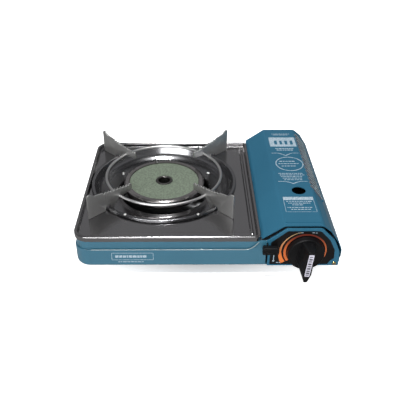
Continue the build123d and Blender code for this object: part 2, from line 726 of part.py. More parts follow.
# --- igniter ----------------------------------------------------------------------------------
IGNITER_X = 88.0
IGNITER_LENGTH = 18.0
LEAD_START_X = 84.0
with BuildPart() as igniter:
    with BuildSketch(Plane.YZ.offset(IGNITER_X)):
        with Locations((IGNITER_Y, IGNITER_Z)):
            RectangleRounded(10, 9, 2)
    extrude(amount=IGNITER_LENGTH)
    with BuildSketch(Plane.YZ.offset(IGNITER_X + IGNITER_LENGTH)):
        with Locations((IGNITER_Y, IGNITER_Z)):
            Circle(3)
    extrude(amount=8)
    with BuildSketch(Plane.YZ.offset(LEAD_START_X)):
        with Locations((IGNITER_Y, IGNITER_Z)):
            Circle(LEAD_HOLE_R)
    extrude(amount=IGNITER_X - LEAD_START_X)
save(igniter, "igniter")

ELECTRODE_ANGLE = math.radians(105)
ELECTRODE_R = 63.6
ELECTRODE = (
    BURNER_X + ELECTRODE_R * math.cos(ELECTRODE_ANGLE),
    BURNER_Y + ELECTRODE_R * math.sin(ELECTRODE_ANGLE),
)
LEAD_R = 1.2
LEAD_Z = FLOOR_TOP + 2.6
LEAD_X = 62.0
INSULATOR_FOOT = 28.0
INSULATOR_TOP = 50.0
with BuildPart() as ignition_lead:
    with BuildLine() as lead_path:
        FilletPolyline(
            (LEAD_START_X, IGNITER_Y, IGNITER_Z),
            (LEAD_X, IGNITER_Y, IGNITER_Z),
            (LEAD_X, IGNITER_Y, LEAD_Z),
            (LEAD_X, ELECTRODE[1] + 14, LEAD_Z),
            (ELECTRODE[0], ELECTRODE[1] + 14, LEAD_Z),
            (ELECTRODE[0], ELECTRODE[1], LEAD_Z),
            (ELECTRODE[0], ELECTRODE[1], INSULATOR_FOOT),
            radius=6,
        )
    with BuildSketch(Plane(origin=(LEAD_START_X, IGNITER_Y, IGNITER_Z), z_dir=(-1, 0, 0))):
        Circle(LEAD_R)
    sweep()
save(ignition_lead, "ignition_lead")

with BuildPart() as electrode_insulator:
    with BuildSketch(Plane.XY.offset(INSULATOR_FOOT)):
        with Locations(ELECTRODE):
            Circle(2.3)
    extrude(amount=INSULATOR_TOP - INSULATOR_FOOT)
    fillet(electrode_insulator.edges().group_by(Axis.Z)[-1], 0.8)
save(electrode_insulator, "electrode_insulator")

ELECTRODE_DIR = (-math.cos(ELECTRODE_ANGLE), -math.sin(ELECTRODE_ANGLE), 0)
ELECTRODE_SIDE = (-math.sin(ELECTRODE_ANGLE), math.cos(ELECTRODE_ANGLE), 0)
ELECTRODE_PLANE = Plane(origin=(*ELECTRODE, INSULATOR_TOP), x_dir=ELECTRODE_DIR, z_dir=ELECTRODE_SIDE)
with BuildPart() as electrode_wire:
    with BuildLine(ELECTRODE_PLANE) as wire_path:
        FilletPolyline((0, 0), (0, 5.5), (4.5, 8.5), (14.6, 6.2), radius=1.5)
    with BuildSketch(Plane.XY.offset(INSULATOR_TOP)):
        with Locations(ELECTRODE):
            Circle(0.7)
    sweep()
save(electrode_wire, "electrode_wire")

# --- heat plate that warms the cartridge bay -----------------------------------------------------
HEAT_PLATE_FRONT = -10.0
HEAT_PLATE_LENGTH = 90.0
HEAT_PLATE_SECTION = [(DIVIDER_X - SHEET, 16), (DIVIDER_X - SHEET, 47), (52, 47)]
with BuildPart() as heat_plate:
    with BuildSketch(Plane.XZ.offset(-HEAT_PLATE_FRONT)):
        add(sheet_band(HEAT_PLATE_SECTION, [3], SHEET))
    extrude(amount=-HEAT_PLATE_LENGTH)
save(heat_plate, "heat_plate")

# --- lid over the cartridge bay ---------------------------------------------------------------
LID_PROFILE = [
    (RIGHT_X, LID_SIDE_Z),
    (RIGHT_X, 35.0),
    (170.0, 46.0),
    (158.5, 63.5),
    (147.0, LID_TOP),
    (96.8, LID_TOP),
    (LID_LEFT, LID_HEM_Z),
]
LID_RADII = [14, 14, 12, 9, 7]
LID_WALL_FOOT = LEDGE_Z + CLEAR
CORNER_INNER = RIGHT_X - CORNER_RIGHT - 1
LOUVRE_COUNT = 16
LOUVRE_PITCH = 10.4
LOUVRE_FIRST_Y = -32.0
LOUVRE = (27.0, 2.4)       # length and width of each slanted slot
LOUVRE_TURN = 38.0
HOOD_W = 2.2               # raised lip along the front edge of each slot
HOOD_H = 1.1
HOOD_ROOT = 0.6            # how deep the lip starts in the sheet
LID_WINDOW = (127.0, -34.4)
LID_WINDOW_R = 9.7
LID_BEAD = (121.0, -109.4)
BACK_WALL_PLANE = Plane.XZ.offset(-BACK_Y)

with BuildPart() as lid:
    with BuildSketch(Plane.XZ.offset(-LID_FRONT)):
        add(sheet_band(LID_PROFILE, LID_RADII, SHEET))
    extrude(amount=LID_FRONT - BACK_Y)
    with BuildSketch(BACK_WALL_PLANE):
        wall = LID_PROFILE + [
            (LID_LEFT, LID_WALL_FOOT),
            (CORNER_INNER, LID_WALL_FOOT),
            (CORNER_INNER, LID_SIDE_Z),
        ]
        add(filled_outline(wall, [0] + LID_RADII + [0.5, 0, 0, 0]))
    extrude(amount=SHEET)
    with BuildSketch(Plane.YZ.offset(LID_LEFT)):
        with Locations((BACK_Y, LID_WALL_FOOT)):
            side = BACK_Y - PLATE_BACK - CLEAR
            Rectangle(side, LID_HEM_Z + 1 - LID_WALL_FOOT, align=(Align.MAX, Align.MIN))
    extrude(amount=SHEET)
    # window that shows the cartridge
    with BuildSketch(Plane.XY.offset(LID_TOP - 3)):
        with Locations(LID_WINDOW):
            Circle(LID_WINDOW_R)
    extrude(amount=6, mode=Mode.SUBTRACT)
    # raised bead across the top near the front edge
    with BuildSketch(Plane.XY.offset(LID_TOP - 0.2)):
        with Locations(LID_BEAD):
            SlotOverall(46, 1.8)
    extrude(amount=0.7)
    # slanted louvres along the shoulder, each with a raised lip
    facet = Plane(origin=(153.9, 0, 67.4), x_dir=(0, 1, 0), z_dir=(9.7, 0, 11.5))
    louvre_ys = [LOUVRE_FIRST_Y + i * LOUVRE_PITCH for i in range(LOUVRE_COUNT)]
    hood_shift = (LOUVRE[1] + HOOD_W) / 2 / math.sin(math.radians(LOUVRE_TURN))
    with BuildSketch(facet.offset(-HOOD_ROOT)):
        with Locations(*[(y - hood_shift, 0) for y in louvre_ys]):
            SlotOverall(LOUVRE[0], HOOD_W, rotation=LOUVRE_TURN)
    extrude(amount=HOOD_ROOT + HOOD_H)
    with BuildSketch(facet):
        with Locations(*[(y, 0) for y in louvre_ys]):
            SlotOverall(*LOUVRE, rotation=LOUVRE_TURN)
    extrude(amount=4, both=True, mode=Mode.SUBTRACT)
    # room for the hinge barrels
    with BuildSketch(Plane.YZ.offset(RIGHT_X - 3)):
        with Locations(*[(y, LID_SIDE_Z) for y in HINGE_Y]):
            Rectangle(28, 2 * (HINGE_Z + HINGE_R + 0.4 - LID_SIDE_Z))
    extrude(amount=5, mode=Mode.SUBTRACT)
save(lid, "lid")

# --- lid hinges ----------------------------------------------------------------------------------
LEAF_T = 1.0
LEAF_X = RIGHT_X - SHEET - LEAF_T
LEAF_FOOT = 17.0
KNUCKLE = 12.0             # length of the middle knuckle
SIDE_KNUCKLE = 6.8
KNUCKLE_GAP = 0.3


def barrel_sketch(bore):
    """Ring section of a hinge barrel, in a plane across the hinge axis."""
    with BuildSketch() as ring:
        with Locations((HINGE_X, HINGE_Z)):
            Circle(HINGE_R)
            Circle(bore, mode=Mode.SUBTRACT)
    return ring.sketch


with BuildPart() as hinge_leaves:
    for hinge_y in HINGE_Y:
        with BuildSketch(Plane.XZ.offset(-hinge_y + KNUCKLE / 2)):
            with Locations((LEAF_X, LEAF_FOOT)):
                Rectangle(LEAF_T, HINGE_Z - LEAF_FOOT, align=(Align.MIN, Align.MIN))
        extrude(amount=-KNUCKLE)
        with BuildSketch(Plane.XZ.offset(-hinge_y + KNUCKLE / 2)):
            with Locations((HINGE_X, HINGE_Z)):
                Circle(HINGE_R)
        extrude(amount=-KNUCKLE)
        with BuildSketch(Plane.XZ.offset(-hinge_y + KNUCKLE)):
            with Locations((HINGE_X, HINGE_Z)):
                Circle(HINGE_PIN_R)
        extrude(amount=-2 * KNUCKLE, mode=Mode.SUBTRACT)
save(hinge_leaves, "hinge_leaves")

with BuildPart() as hinge_pins:
    for hinge_y in HINGE_Y:
        with BuildSketch(Plane.XZ.offset(-hinge_y + KNUCKLE / 2 + KNUCKLE_GAP + SIDE_KNUCKLE)):
            with Locations((HINGE_X, HINGE_Z)):
                Circle(HINGE_PIN_R)
        extrude(amount=-(KNUCKLE + 2 * KNUCKLE_GAP + 2 * SIDE_KNUCKLE))
save(hinge_pins, "hinge_pins")

SIDE_STARTS = (KNUCKLE / 2 + KNUCKLE_GAP, -KNUCKLE / 2 - KNUCKLE_GAP - SIDE_KNUCKLE)
with BuildPart() as lid_hinge_leaves:
    for hinge_y in HINGE_Y:
        for start in SIDE_STARTS:
            plane = Plane.XZ.offset(-hinge_y - start)
            with BuildSketch(plane):
                with Locations((LEAF_X, HINGE_Z)):
                    Rectangle(LEAF_T, 8, align=(Align.MIN, Align.MIN))
                with Locations((HINGE_X, HINGE_Z)):
                    Circle(HINGE_R)
            extrude(amount=-SIDE_KNUCKLE)
            with BuildSketch(plane.offset(1)):
                with Locations((HINGE_X, HINGE_Z)):
                    Circle(HINGE_PIN_R + 0.05)
            extrude(amount=-SIDE_KNUCKLE - 2, mode=Mode.SUBTRACT)
save(lid_hinge_leaves, "lid_hinge_leaves")

# --- control knob -----------------------------------------------------------------------------------
KNOB_BACK = FRONT_Y - 0.6
KNOB_BASE_R = 24.5
KNOB_SOCKET = 18.0         # how far the spindle reaches into the knob
KNOB_LEAN = -5.0           # the tip points a little left of straight down when shut
GRIP_BACK = KNOB_BACK - 6.0
GRIP_FRONT = -151.4
GRIP_BASE = [(-9, 21), (9, 21), (12.5, -8), (5, -22.5), (-5, -22.5), (-12.5, -8)]
GRIP_FACE = [(-4.3, 21.5), (4.3, 21.5), (5.4, -14), (2.2, -27.2), (-2.2, -27.2), (-5.4, -14)]

with BuildPart() as knob:
    with BuildSketch(Plane.XZ.offset(-KNOB_BACK)):
        with Locations((KNOB_X, KNOB_Z)):
            Circle(KNOB_BASE_R)
    extrude(amount=7, taper=6)
    fillet(knob.edges().group_by(Axis.Y)[0], 1.5)
    with BuildSketch(Plane.XZ.offset(-GRIP_BACK)) as grip_base:
        with Locations(Location((KNOB_X, KNOB_Z), KNOB_LEAN)):
            add(filled_outline(GRIP_BASE, [4, 4, 7, 3, 3, 7]))
    with BuildSketch(Plane.XZ.offset(-GRIP_FRONT)) as grip_face:
        with Locations(Location((KNOB_X, KNOB_Z), KNOB_LEAN)):
            add(filled_outline(GRIP_FACE, [2, 2, 6, 2, 2, 6]))
    loft()
    fillet(knob.edges().group_by(Axis.Y)[0], 0.8)
    with BuildSketch(Plane.XZ.offset(-KNOB_BACK)):
        with Locations((KNOB_X, KNOB_Z)):
            Circle(SPINDLE_R)
    extrude(amount=KNOB_SOCKET, mode=Mode.SUBTRACT)
save(knob, "knob")

with BuildPart() as knob_label:
    with BuildSketch(Plane.XZ.offset(-GRIP_FRONT)):
        with Locations(Location((KNOB_X, KNOB_Z), KNOB_LEAN)):
            with Locations((0, 1)):
                RectangleRounded(6.4, 35, 1.2)
    extrude(amount=0.5)
save(knob_label, "knob_label")

with BuildPart() as spindle:
    with BuildSketch(Plane.XZ.offset(-KNOB_BACK + KNOB_SOCKET)):
        with Locations((KNOB_X, KNOB_Z)):
            Circle(SPINDLE_R)
    extrude(amount=KNOB_BACK - KNOB_SOCKET - BLOCK_FRONT - 6)
save(spindle, "spindle")

# --- cartridge lock lever ---------------------------------------------------------------------------
TAB_BACK = -124.8
TAB_FRONT = -131.5
TAB_TOP = 47.2
TAB_BOTTOM = 36.4
TAB_X = 79.8
TAB_W = 21.0
ARM_SECTION = LEVER_X - LEVER_T / 2

with BuildPart() as lever_arm:
    with BuildSketch(Plane.YZ.offset(ARM_SECTION)):
        with Locations((LEVER_PIVOT_Y, LEVER_PIVOT_Z)):
            Circle(6.5)
        reach = [
            (LEVER_PIVOT_Y, LEVER_PIVOT_Z - 6.4),
            (LEVER_PIVOT_Y + 4.8, LINK_Z - 2),
            (LEVER_PIVOT_Y + 3.6, LINK_Z + 3.6),
            (LEVER_PIVOT_Y - 3.6, LINK_Z + 3.6),
            (LEVER_PIVOT_Y - 5.5, LEVER_PIVOT_Z + 10),
            (TAB_BACK, 45.0),
            (TAB_BACK, 38.0),
        ]
        add(filled_outline(reach, [1, 0.5, 2.5, 2.5, 3, 0, 0]))
        with Locations((LEVER_PIVOT_Y, LEVER_PIVOT_Z)):
            Circle(2.05, mode=Mode.SUBTRACT)
    extrude(amount=LEVER_T)
save(lever_arm, "lever_arm")

with BuildPart() as lever_tab:
    with BuildSketch(Plane.XZ.offset(-TAB_BACK)):
        with Locations((TAB_X, (TAB_TOP + TAB_BOTTOM) / 2)):
            RectangleRounded(TAB_W, TAB_TOP - TAB_BOTTOM, 1.5)
    extrude(amount=TAB_BACK - TAB_FRONT)
    fillet(lever_tab.edges().group_by(Axis.Y)[0], 1.2)
    with BuildSketch(Plane.YZ.offset(60)):
        with Locations(*[(TAB_FRONT, TAB_BOTTOM + 2.6 + i * 2.8) for i in range(3)]):
            Circle(0.9)
    extrude(amount=40, mode=Mode.SUBTRACT)
save(lever_tab, "lever_tab")

LINK_LEFT = 72.0
LINK_T = 1.6
with BuildPart() as lever_pin:
    with BuildSketch(Plane.YZ.offset(LINK_LEFT - 0.8)):
        with Locations((LEVER_PIVOT_Y, LINK_Z)):
            Circle(LEVER_PIN_R)
    extrude(amount=ARM_SECTION - LINK_LEFT + 0.8)
save(lever_pin, "lever_pin")

with BuildPart() as lever_bracket:
    with BuildSketch(Plane.YZ.offset(LEVER_X + LEVER_T / 2 + 0.4)):
        with Locations((LEVER_PIVOT_Y, 22)):
            RectangleRounded(16, 20, 3)
    extrude(amount=DIVIDER_X - SHEET - LEVER_X - LEVER_T / 2 - 0.4)
    with BuildSketch(Plane.YZ.offset(ARM_SECTION - 0.6)):
        with Locations((LEVER_PIVOT_Y, LEVER_PIVOT_Z)):
            Circle(2)
    extrude(amount=3)
save(lever_bracket, "lever_bracket")

# --- cartridge pusher, drawn forward by the lever ------------------------------------------------------
LOCK_TRAVEL = 8.0
PUSH_FRONT = CAN_FRONT + CAN_LENGTH + 0.5
PUSH_T = 1.5
PUSH_FOOT = 13.0
PUSH_FACE = (58.0, 46.0)
RUNNER_X = 25.2            # distance of each runner from the cartridge's axis
RUNNER = (6.5, 64.0)
RUNNER_GAP = 0.4

with BuildPart() as lever_link:
    with BuildSketch(Plane.YZ.offset(LINK_LEFT)):
        with Locations((LEVER_PIVOT_Y - 6, LINK_Z)):
            Rectangle(PUSH_FRONT + PUSH_T - LEVER_PIVOT_Y + 6, 8, align=(Align.MIN, Align.CENTER))
        with Locations((LEVER_PIVOT_Y, LINK_Z - 1)):
            Rectangle(12, 10.4)
            SlotOverall(6.6, 2 * LEVER_PIN_R + 0.8, rotation=90, mode=Mode.SUBTRACT)
    extrude(amount=LINK_T)
save(lever_link, "lever_link")

with BuildPart() as cartridge_pusher:
    with BuildSketch(Plane.XZ.offset(-PUSH_FRONT)):
        with Locations((CAN_X, PUSH_FOOT)):
            Rectangle(*PUSH_FACE, align=(Align.CENTER, Align.MIN))
        with Locations((LINK_LEFT + LINK_T, LINK_Z)):
            Rectangle(CAN_X - 20 - LINK_LEFT, 6, align=(Align.MIN, Align.CENTER))
    extrude(amount=-PUSH_T)
    with BuildSketch(Plane.XY.offset(FLOOR_TOP + RUNNER_GAP)):
        with Locations((CAN_X - RUNNER_X, PUSH_FRONT + PUSH_T), (CAN_X + RUNNER_X, PUSH_FRONT + PUSH_T)):
            Rectangle(*RUNNER, align=(Align.CENTER, Align.MAX))
    extrude(amount=1.2)
    with BuildSketch(Plane.XY.offset(FLOOR_TOP + RUNNER_GAP)):
        with Locations((CAN_X, PUSH_FRONT + PUSH_T)):
            Rectangle(2 * RUNNER_X + RUNNER[0], 4, align=(Align.CENTER, Align.MAX))
    extrude(amount=3)
save(cartridge_pusher, "cartridge_pusher")
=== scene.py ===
"""Looks of a table-top camping stove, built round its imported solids.

Metres, +Z up, feet on z = 0, -Y is the front with the control knob. The sizes
of the pieces are in millimetres and are turned into metres when a mesh is
made. Floor and lamps are in metres.
"""

import json
import logging
import math
from dataclasses import dataclass, field
from enum import Enum
from typing import Iterable, Sequence

import bpy
import numpy as np
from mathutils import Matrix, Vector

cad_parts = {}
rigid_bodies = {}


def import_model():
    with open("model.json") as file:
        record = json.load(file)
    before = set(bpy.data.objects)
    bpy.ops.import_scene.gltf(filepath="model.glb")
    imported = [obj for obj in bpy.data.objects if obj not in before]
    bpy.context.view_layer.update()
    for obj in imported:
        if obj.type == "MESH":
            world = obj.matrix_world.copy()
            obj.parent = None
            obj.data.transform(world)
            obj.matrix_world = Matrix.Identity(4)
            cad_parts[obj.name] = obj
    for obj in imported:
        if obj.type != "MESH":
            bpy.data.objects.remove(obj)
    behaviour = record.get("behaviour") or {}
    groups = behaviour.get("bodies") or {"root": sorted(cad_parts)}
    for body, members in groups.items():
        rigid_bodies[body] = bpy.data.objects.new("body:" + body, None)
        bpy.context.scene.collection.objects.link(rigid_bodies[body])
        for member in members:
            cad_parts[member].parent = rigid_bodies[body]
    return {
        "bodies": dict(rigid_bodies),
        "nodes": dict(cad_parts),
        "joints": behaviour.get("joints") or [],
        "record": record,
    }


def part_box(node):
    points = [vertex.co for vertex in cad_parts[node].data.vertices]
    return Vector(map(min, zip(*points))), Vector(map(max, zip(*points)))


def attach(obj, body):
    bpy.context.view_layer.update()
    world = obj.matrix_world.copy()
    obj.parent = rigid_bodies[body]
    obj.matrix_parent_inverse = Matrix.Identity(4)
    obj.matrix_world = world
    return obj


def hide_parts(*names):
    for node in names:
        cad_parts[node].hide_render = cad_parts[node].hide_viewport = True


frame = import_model()

MM = 0.001
MIX_LOW, MIX_HIGH, MIX_COLOUR = 6, 7, 2  # the colour sockets of a Mix node, by number
LOG = logging.getLogger("stove")
Colour = tuple[float, float, float]
Array = np.ndarray


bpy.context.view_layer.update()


class Body(Enum):
    """The rigid bodies that new pieces ride on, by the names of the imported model."""

    STOVE = "stove"
    PAN_SUPPORT = "pan_support"
    LID = "bay_lid"
    KNOB = "control_knob"


class Slot(Enum):
    """The record's material slots that are named for new pieces."""

    PAINT = "blue_paint"
    STAINLESS = "stainless"
    POLISHED = "polished_steel"
    SATIN = "satin_steel"
    BLACK = "black_plastic"
    LABEL = "label_silver"
    BRASS = "brass"


def box_mm(node: str) -> tuple[Array, Array]:
    """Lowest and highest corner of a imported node, in millimetres.

    Args:
        node: name of the node.

    Returns:
        The two corners as arrays.
    """
    low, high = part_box(node)
    return np.array(low) / MM, np.array(high) / MM


# --------------------------------------------------------------------------
# Shader graph helpers
# --------------------------------------------------------------------------


class Sock:
    """A node output that adds Math nodes when it is used in arithmetic."""

    def __init__(self, graph: "Graph", socket: bpy.types.NodeSocket) -> None:
        """Wrap a socket.

        Args:
            graph: graph that owns the socket's node.
            socket: output socket to wrap.
        """
        self.graph = graph
        self.socket = socket

    def _math(self, operation: str, *values: "Sock | float") -> "Sock":
        """One Math node on the given values."""
        return self.graph.node("ShaderNodeMath", {"operation": operation}, list(values))

    def __add__(self, other: "Sock | float") -> "Sock":
        """Sum."""
        return self._math("ADD", self, other)

    __radd__ = __add__

    def __sub__(self, other: "Sock | float") -> "Sock":
        """Difference."""
        return self._math("SUBTRACT", self, other)

    def __rsub__(self, other: "Sock | float") -> "Sock":
        """Difference with the socket on the right."""
        return self._math("SUBTRACT", other, self)

    def __mul__(self, other: "Sock | float") -> "Sock":
        """Product."""
        return self._math("MULTIPLY", self, other)

    __rmul__ = __mul__

    def __truediv__(self, other: "Sock | float") -> "Sock":
        """Quotient."""
        return self._math("DIVIDE", self, other)

    def __pow__(self, other: "Sock | float") -> "Sock":
        """Power."""
        return self._math("POWER", self, other)

    def __gt__(self, other: "Sock | float") -> "Sock":
        """One where the socket is larger, otherwise zero."""
        return self._math("GREATER_THAN", self, other)

    def __lt__(self, other: "Sock | float") -> "Sock":
        """One where the socket is smaller, otherwise zero."""
        return self._math("LESS_THAN", self, other)

    def sine(self) -> "Sock":
        """Sine of the value, in radians."""
        return self._math("SINE", self)

    def bounded(self) -> "Sock":
        """The value held between zero and one."""
        return self.graph.node("ShaderNodeClamp", {}, [self, 0.0, 1.0])


class Graph:
    """The node tree of one material or of the surroundings, with its shader."""

    def __init__(self, name: str, owner: "bpy.types.World | None" = None) -> None:
        """Start with the shader that a new tree holds.

        Args:
            name: material name.
            owner: surroundings to use in place of a new material.
        """
        self.material = owner or bpy.data.materials.new(name)
        self.material.use_nodes = True
        self.tree = self.material.node_tree
        self.shader = next(n for n in self.tree.nodes if n.type in ("BSDF_PRINCIPLED", "BACKGROUND"))

    def node(
        self,
        kind: str,
        settings: dict | None = None,
        values: "Sequence | dict | None" = None,
        output: "int | str" = 0,
    ) -> Sock:
        """Make one node.

        Args:
            kind: type name of the node.
            settings: attributes that are set first; the key stops holds a ramp's stops.
            values: values or sockets for the inputs, in order or by name.
            output: which output to return.

        Returns:
            The chosen output, wrapped.
        """
        made = self.tree.nodes.new(kind)
        for key, value in (settings or {}).items():
            if key == "stops":
                ramp = made.color_ramp.elements
                while len(ramp) < len(value):
                    ramp.new(0.5)
                for element, (place, colour) in zip(ramp, value):
                    element.position = place
                    element.color = (*colour, 1.0)
            else:
                setattr(made, key, value)
        pairs = values.items() if isinstance(values, dict) else enumerate(values or [])
        for key, value in pairs:
            if isinstance(value, Sock):
                self.tree.links.new(value.socket, made.inputs[key])
            elif value is not None:
                made.inputs[key].default_value = value
        return Sock(self, made.outputs[output])

    def place(self) -> Sock:
        """Object coordinates."""
        return self.node("ShaderNodeTexCoord", output="Object")

    def axes(self, vector: Sock) -> list[Sock]:
        """X, Y and Z of a vector.

        Args:
            vector: vector to take apart.

        Returns:
            One output for each axis.
        """
        apart = self.node("ShaderNodeSeparateXYZ", {}, [vector])
        return [Sock(self, output) for output in apart.socket.node.outputs]

    def length(self, vector: Sock, scale: tuple[float, float, float]) -> Sock:
        """Length of a vector whose axes are scaled first.

        Args:
            vector: vector to measure.
            scale: factor along each axis.

        Returns:
            The length.
        """
        flat = self.node("ShaderNodeVectorMath", {"operation": "MULTIPLY"}, [vector, scale])
        return self.node("ShaderNodeVectorMath", {"operation": "LENGTH"}, [flat], "Value")

    def stretched(self, scale: tuple[float, float, float]) -> Sock:
        """Object coordinates with each axis scaled by its own factor."""
        return self.node("ShaderNodeMapping", {}, {"Vector": self.place(), "Scale": scale})

    def noise(self, scale: float, detail: float = 2.0, along: Sock | None = None) -> Sock:
        """Noise value between about 0.25 and 0.75.

        Args:
            scale: cells per metre.
            detail: octaves.
            along: coordinates, or Object coordinates if none are given.

        Returns:
            The noise factor.
        """
        values = {"Vector": along or self.place(), "Scale": scale, "Detail": detail}
        return self.node("ShaderNodeTexNoise", {}, values, "Fac")

    def mix(self, share: Sock, low: "Colour | Sock", high: "Colour | Sock") -> Sock:
        """Blend of two colours.

        Args:
            share: zero gives low and one gives high.
            low: first colour.
            high: second colour.

        Returns:
            The blended colour.
        """
        ends = [value if isinstance(value, Sock) else (*value, 1.0) for value in (low, high)]
        values = {"Factor": share, MIX_LOW: ends[0], MIX_HIGH: ends[1]}
        return self.node("ShaderNodeMix", {"data_type": "RGBA"}, values, MIX_COLOUR)

    def feed(self, name: str, value: "Sock | float | tuple") -> None:
        """Give the shader's input a socket or a constant.

        Args:
            name: input name.
            value: socket or constant.
        """
        target = self.shader.inputs[name]
        if isinstance(value, Sock):
            self.tree.links.new(value.socket, target)
        elif isinstance(value, tuple):
            target.default_value = (*value, 1.0)
        else:
            target.default_value = value

    def bump(self, height: Sock, depth_mm: float, strength: float = 1.0) -> None:
        """Feed the shader's Normal from a height.

        Args:
            height: value whose slope tilts the surface.
            depth_mm: height of one unit.
            strength: share of the tilt that is used.
        """
        values = {"Strength": strength, "Distance": depth_mm * MM, "Height": height}
        self.feed("Normal", self.node("ShaderNodeBump", {}, values, "Normal"))


# --------------------------------------------------------------------------
# Finishes
# --------------------------------------------------------------------------


@dataclass(frozen=True)
class GlossEnamel:
    """Sprayed enamel under a clear gloss, with a faint orange-peel surface."""

    name: str
    colour: Colour
    shade: Colour
    roughness: float = 0.34
    coat: float = 0.10
    gleam: float = 0.14
    painted_shade_box: "tuple[tuple[float, ...], tuple[float, ...]] | None" = None
    painted_shade_colour: Colour = (0.018, 0.019, 0.020)

    def make(self) -> bpy.types.Material:
        """Slow colour drift, fine peel, and a near-black painted shade inside the shell.

        Returns:
            The finished material.
        """
        g = Graph(self.name)
        drift = ((g.noise(9.0) - 0.3) * 1.6).bounded()
        paint = g.mix(drift, self.shade, self.colour)
        if self.painted_shade_box:
            # painted shade: inside the shell the paint is turned near-black, standing in for the shade in
            # the cavity
            inside = self.inside(g)
            paint = g.mix(inside, paint, self.painted_shade_colour)
            g.feed("Coat Weight", (1.0 - inside) * self.coat)
            g.feed("Roughness", inside * 0.35 + self.roughness)
        else:
            g.feed("Coat Weight", self.coat)
            g.feed("Roughness", self.roughness + (g.noise(60.0, 4.0) - 0.5) * 0.10)
        g.feed("Base Color", paint)
        g.feed("Coat Roughness", 0.07)
        g.feed("Specular IOR Level", self.gleam)
        g.bump(g.noise(420.0, 2.0), 0.05, 0.25)
        return g.material

    def inside(self, g: Graph) -> Sock:
        """One within the box just inside the painted skin, where the inside is painted near-black as
        shade, otherwise zero.

        Args:
            g: graph of the finish.

        Returns:
            The mask.
        """
        low, high = self.painted_shade_box
        axes = g.axes(g.place())
        share = (axes[0] > low[0] * MM) * (axes[0] < high[0] * MM)
        for axis, first, last in zip(axes[1:], low[1:], high[1:]):
            share = share * (axis > first * MM) * (axis < last * MM)
        return share


@dataclass(frozen=True)
class RolledSteel:
    """Bare sheet steel with fine rolling lines and soft stains."""

    name: str
    colour: Colour
    roughness: float
    spread: float = 0.12
    line_scale: tuple[float, float, float] = (4.0, 260.0, 260.0)
    line_depth_mm: float = 0.012

    def make(self) -> bpy.types.Material:
        """Lines stretched along one axis tilt and dull the metal.

        Returns:
            The finished material.
        """
        g = Graph(self.name)
        lines = g.noise(5.0, 5.0, g.stretched(self.line_scale))
        stain = g.noise(14.0, 3.0)
        dark = tuple(c * 0.82 for c in self.colour)
        g.feed("Base Color", g.mix(stain, dark, self.colour))
        g.feed("Metallic", 1.0)
        wear = (lines - 0.5) * self.spread + (stain - 0.5) * self.spread
        g.feed("Roughness", (wear + self.roughness).bounded())
        g.bump(lines, self.line_depth_mm, 0.35)
        return g.material


@dataclass(frozen=True)
class SpunSteel:
    """Polished steel turned on a lathe, with rings about the burner's axis."""

    name: str
    colour: Colour
    roughness: float
    centre: tuple[float, float]
    ring_pitch_mm: float = 1.4
    heat_from_mm: float = 0.0
    heat_to_mm: float = 0.0

    def make(self) -> bpy.types.Material:
        """Rings by distance from the axis, and a straw heat tint.

        Returns:
            The finished material.
        """
        g = Graph(self.name)
        shift = (-self.centre[0] * MM, -self.centre[1] * MM, 0.0)
        values = {"Vector": g.place(), "Location": shift}
        local = g.node("ShaderNodeMapping", {}, values)
        radius = g.length(local, (1.0, 1.0, 0.0))
        rings = (radius * (2 * math.pi / (self.ring_pitch_mm * MM)) + g.noise(30.0) * 9.0).sine()
        smear = g.noise(22.0, 4.0)
        colour: Colour | Sock = self.colour
        if self.heat_to_mm > self.heat_from_mm:
            span = (self.heat_to_mm - self.heat_from_mm) * MM
            cool = ((radius - self.heat_from_mm * MM) / span + (smear - 0.5) * 0.5).bounded()
            straw = tuple(a * b for a, b in zip(self.colour, (0.20, 0.15, 0.11)))
            colour = g.mix(cool, straw, self.colour)
        g.feed("Base Color", g.mix(smear, tuple(c * 0.85 for c in self.colour), colour))
        g.feed("Metallic", 1.0)
        g.feed("Roughness", (rings * 0.02 + (smear - 0.5) * 0.08 + self.roughness).bounded())
        g.bump(rings, 0.004, 0.3)
        return g.material


@dataclass(frozen=True)
class PorousCeramic:
    """Pale green burner ceramic, pricked all over with fine flame ports."""

    name: str
    colour: Colour
    port_shade_colour: Colour
    port_pitch_mm: float = 2.1

    def make(self) -> bpy.types.Material:
        """Rows of round pits painted dark as the shade inside the flame ports, soot specks and a mottled
        body.

        Returns:
            The finished material.
        """
        g = Graph(self.name)
        cells = {"Vector": g.place(), "Scale": 1.0 / (self.port_pitch_mm * MM), "Randomness": 0.12}
        near = g.node("ShaderNodeTexVoronoi", {"voronoi_dimensions": "2D"}, cells, "Distance")
        pit = (1.0 - near * 4.2).bounded()
        mottle = g.noise(420.0, 4.0)
        patches = ((mottle - 0.36) * 3.2).bounded()
        body = g.mix(patches, tuple(c * 0.58 for c in self.colour), self.colour)
        speck = ((g.noise(900.0, 1.0) - 0.66) * 9.0).bounded()
        spotted = g.mix(speck * 0.6, body, tuple(c * 0.35 for c in self.colour))
        # painted shade: each port pit is darkened as the shade inside the hole
        g.feed("Base Color", g.mix(pit * 0.75, spotted, self.port_shade_colour))
        g.feed("Roughness", 0.85 + mottle * 0.1)
        g.bump(mottle * 0.4 - pit, 0.35, 0.6)
        return g.material


@dataclass(frozen=True)
class MouldedPlastic:
    """Moulded plastic or rubber with a spark-eroded grain."""

    name: str
    colour: Colour
    roughness: float
    grain: float = 1500.0
    depth_mm: float = 0.03

    def make(self) -> bpy.types.Material:
        """Fine even grain with slow scuffed patches.

        Returns:
            The finished material.
        """
        g = Graph(self.name)
        scuff = ((g.noise(38.0, 5.0) - 0.5) * 2.2).bounded()
        pale = tuple(min(1.0, c * 1.5 + 0.003) for c in self.colour)
        g.feed("Base Color", g.mix(scuff, self.colour, pale))
        g.feed("Roughness", self.roughness + scuff * 0.14)
        g.feed("Specular IOR Level", 0.2)
        g.bump(g.noise(self.grain, 2.0), self.depth_mm, 0.45)
        return g.material


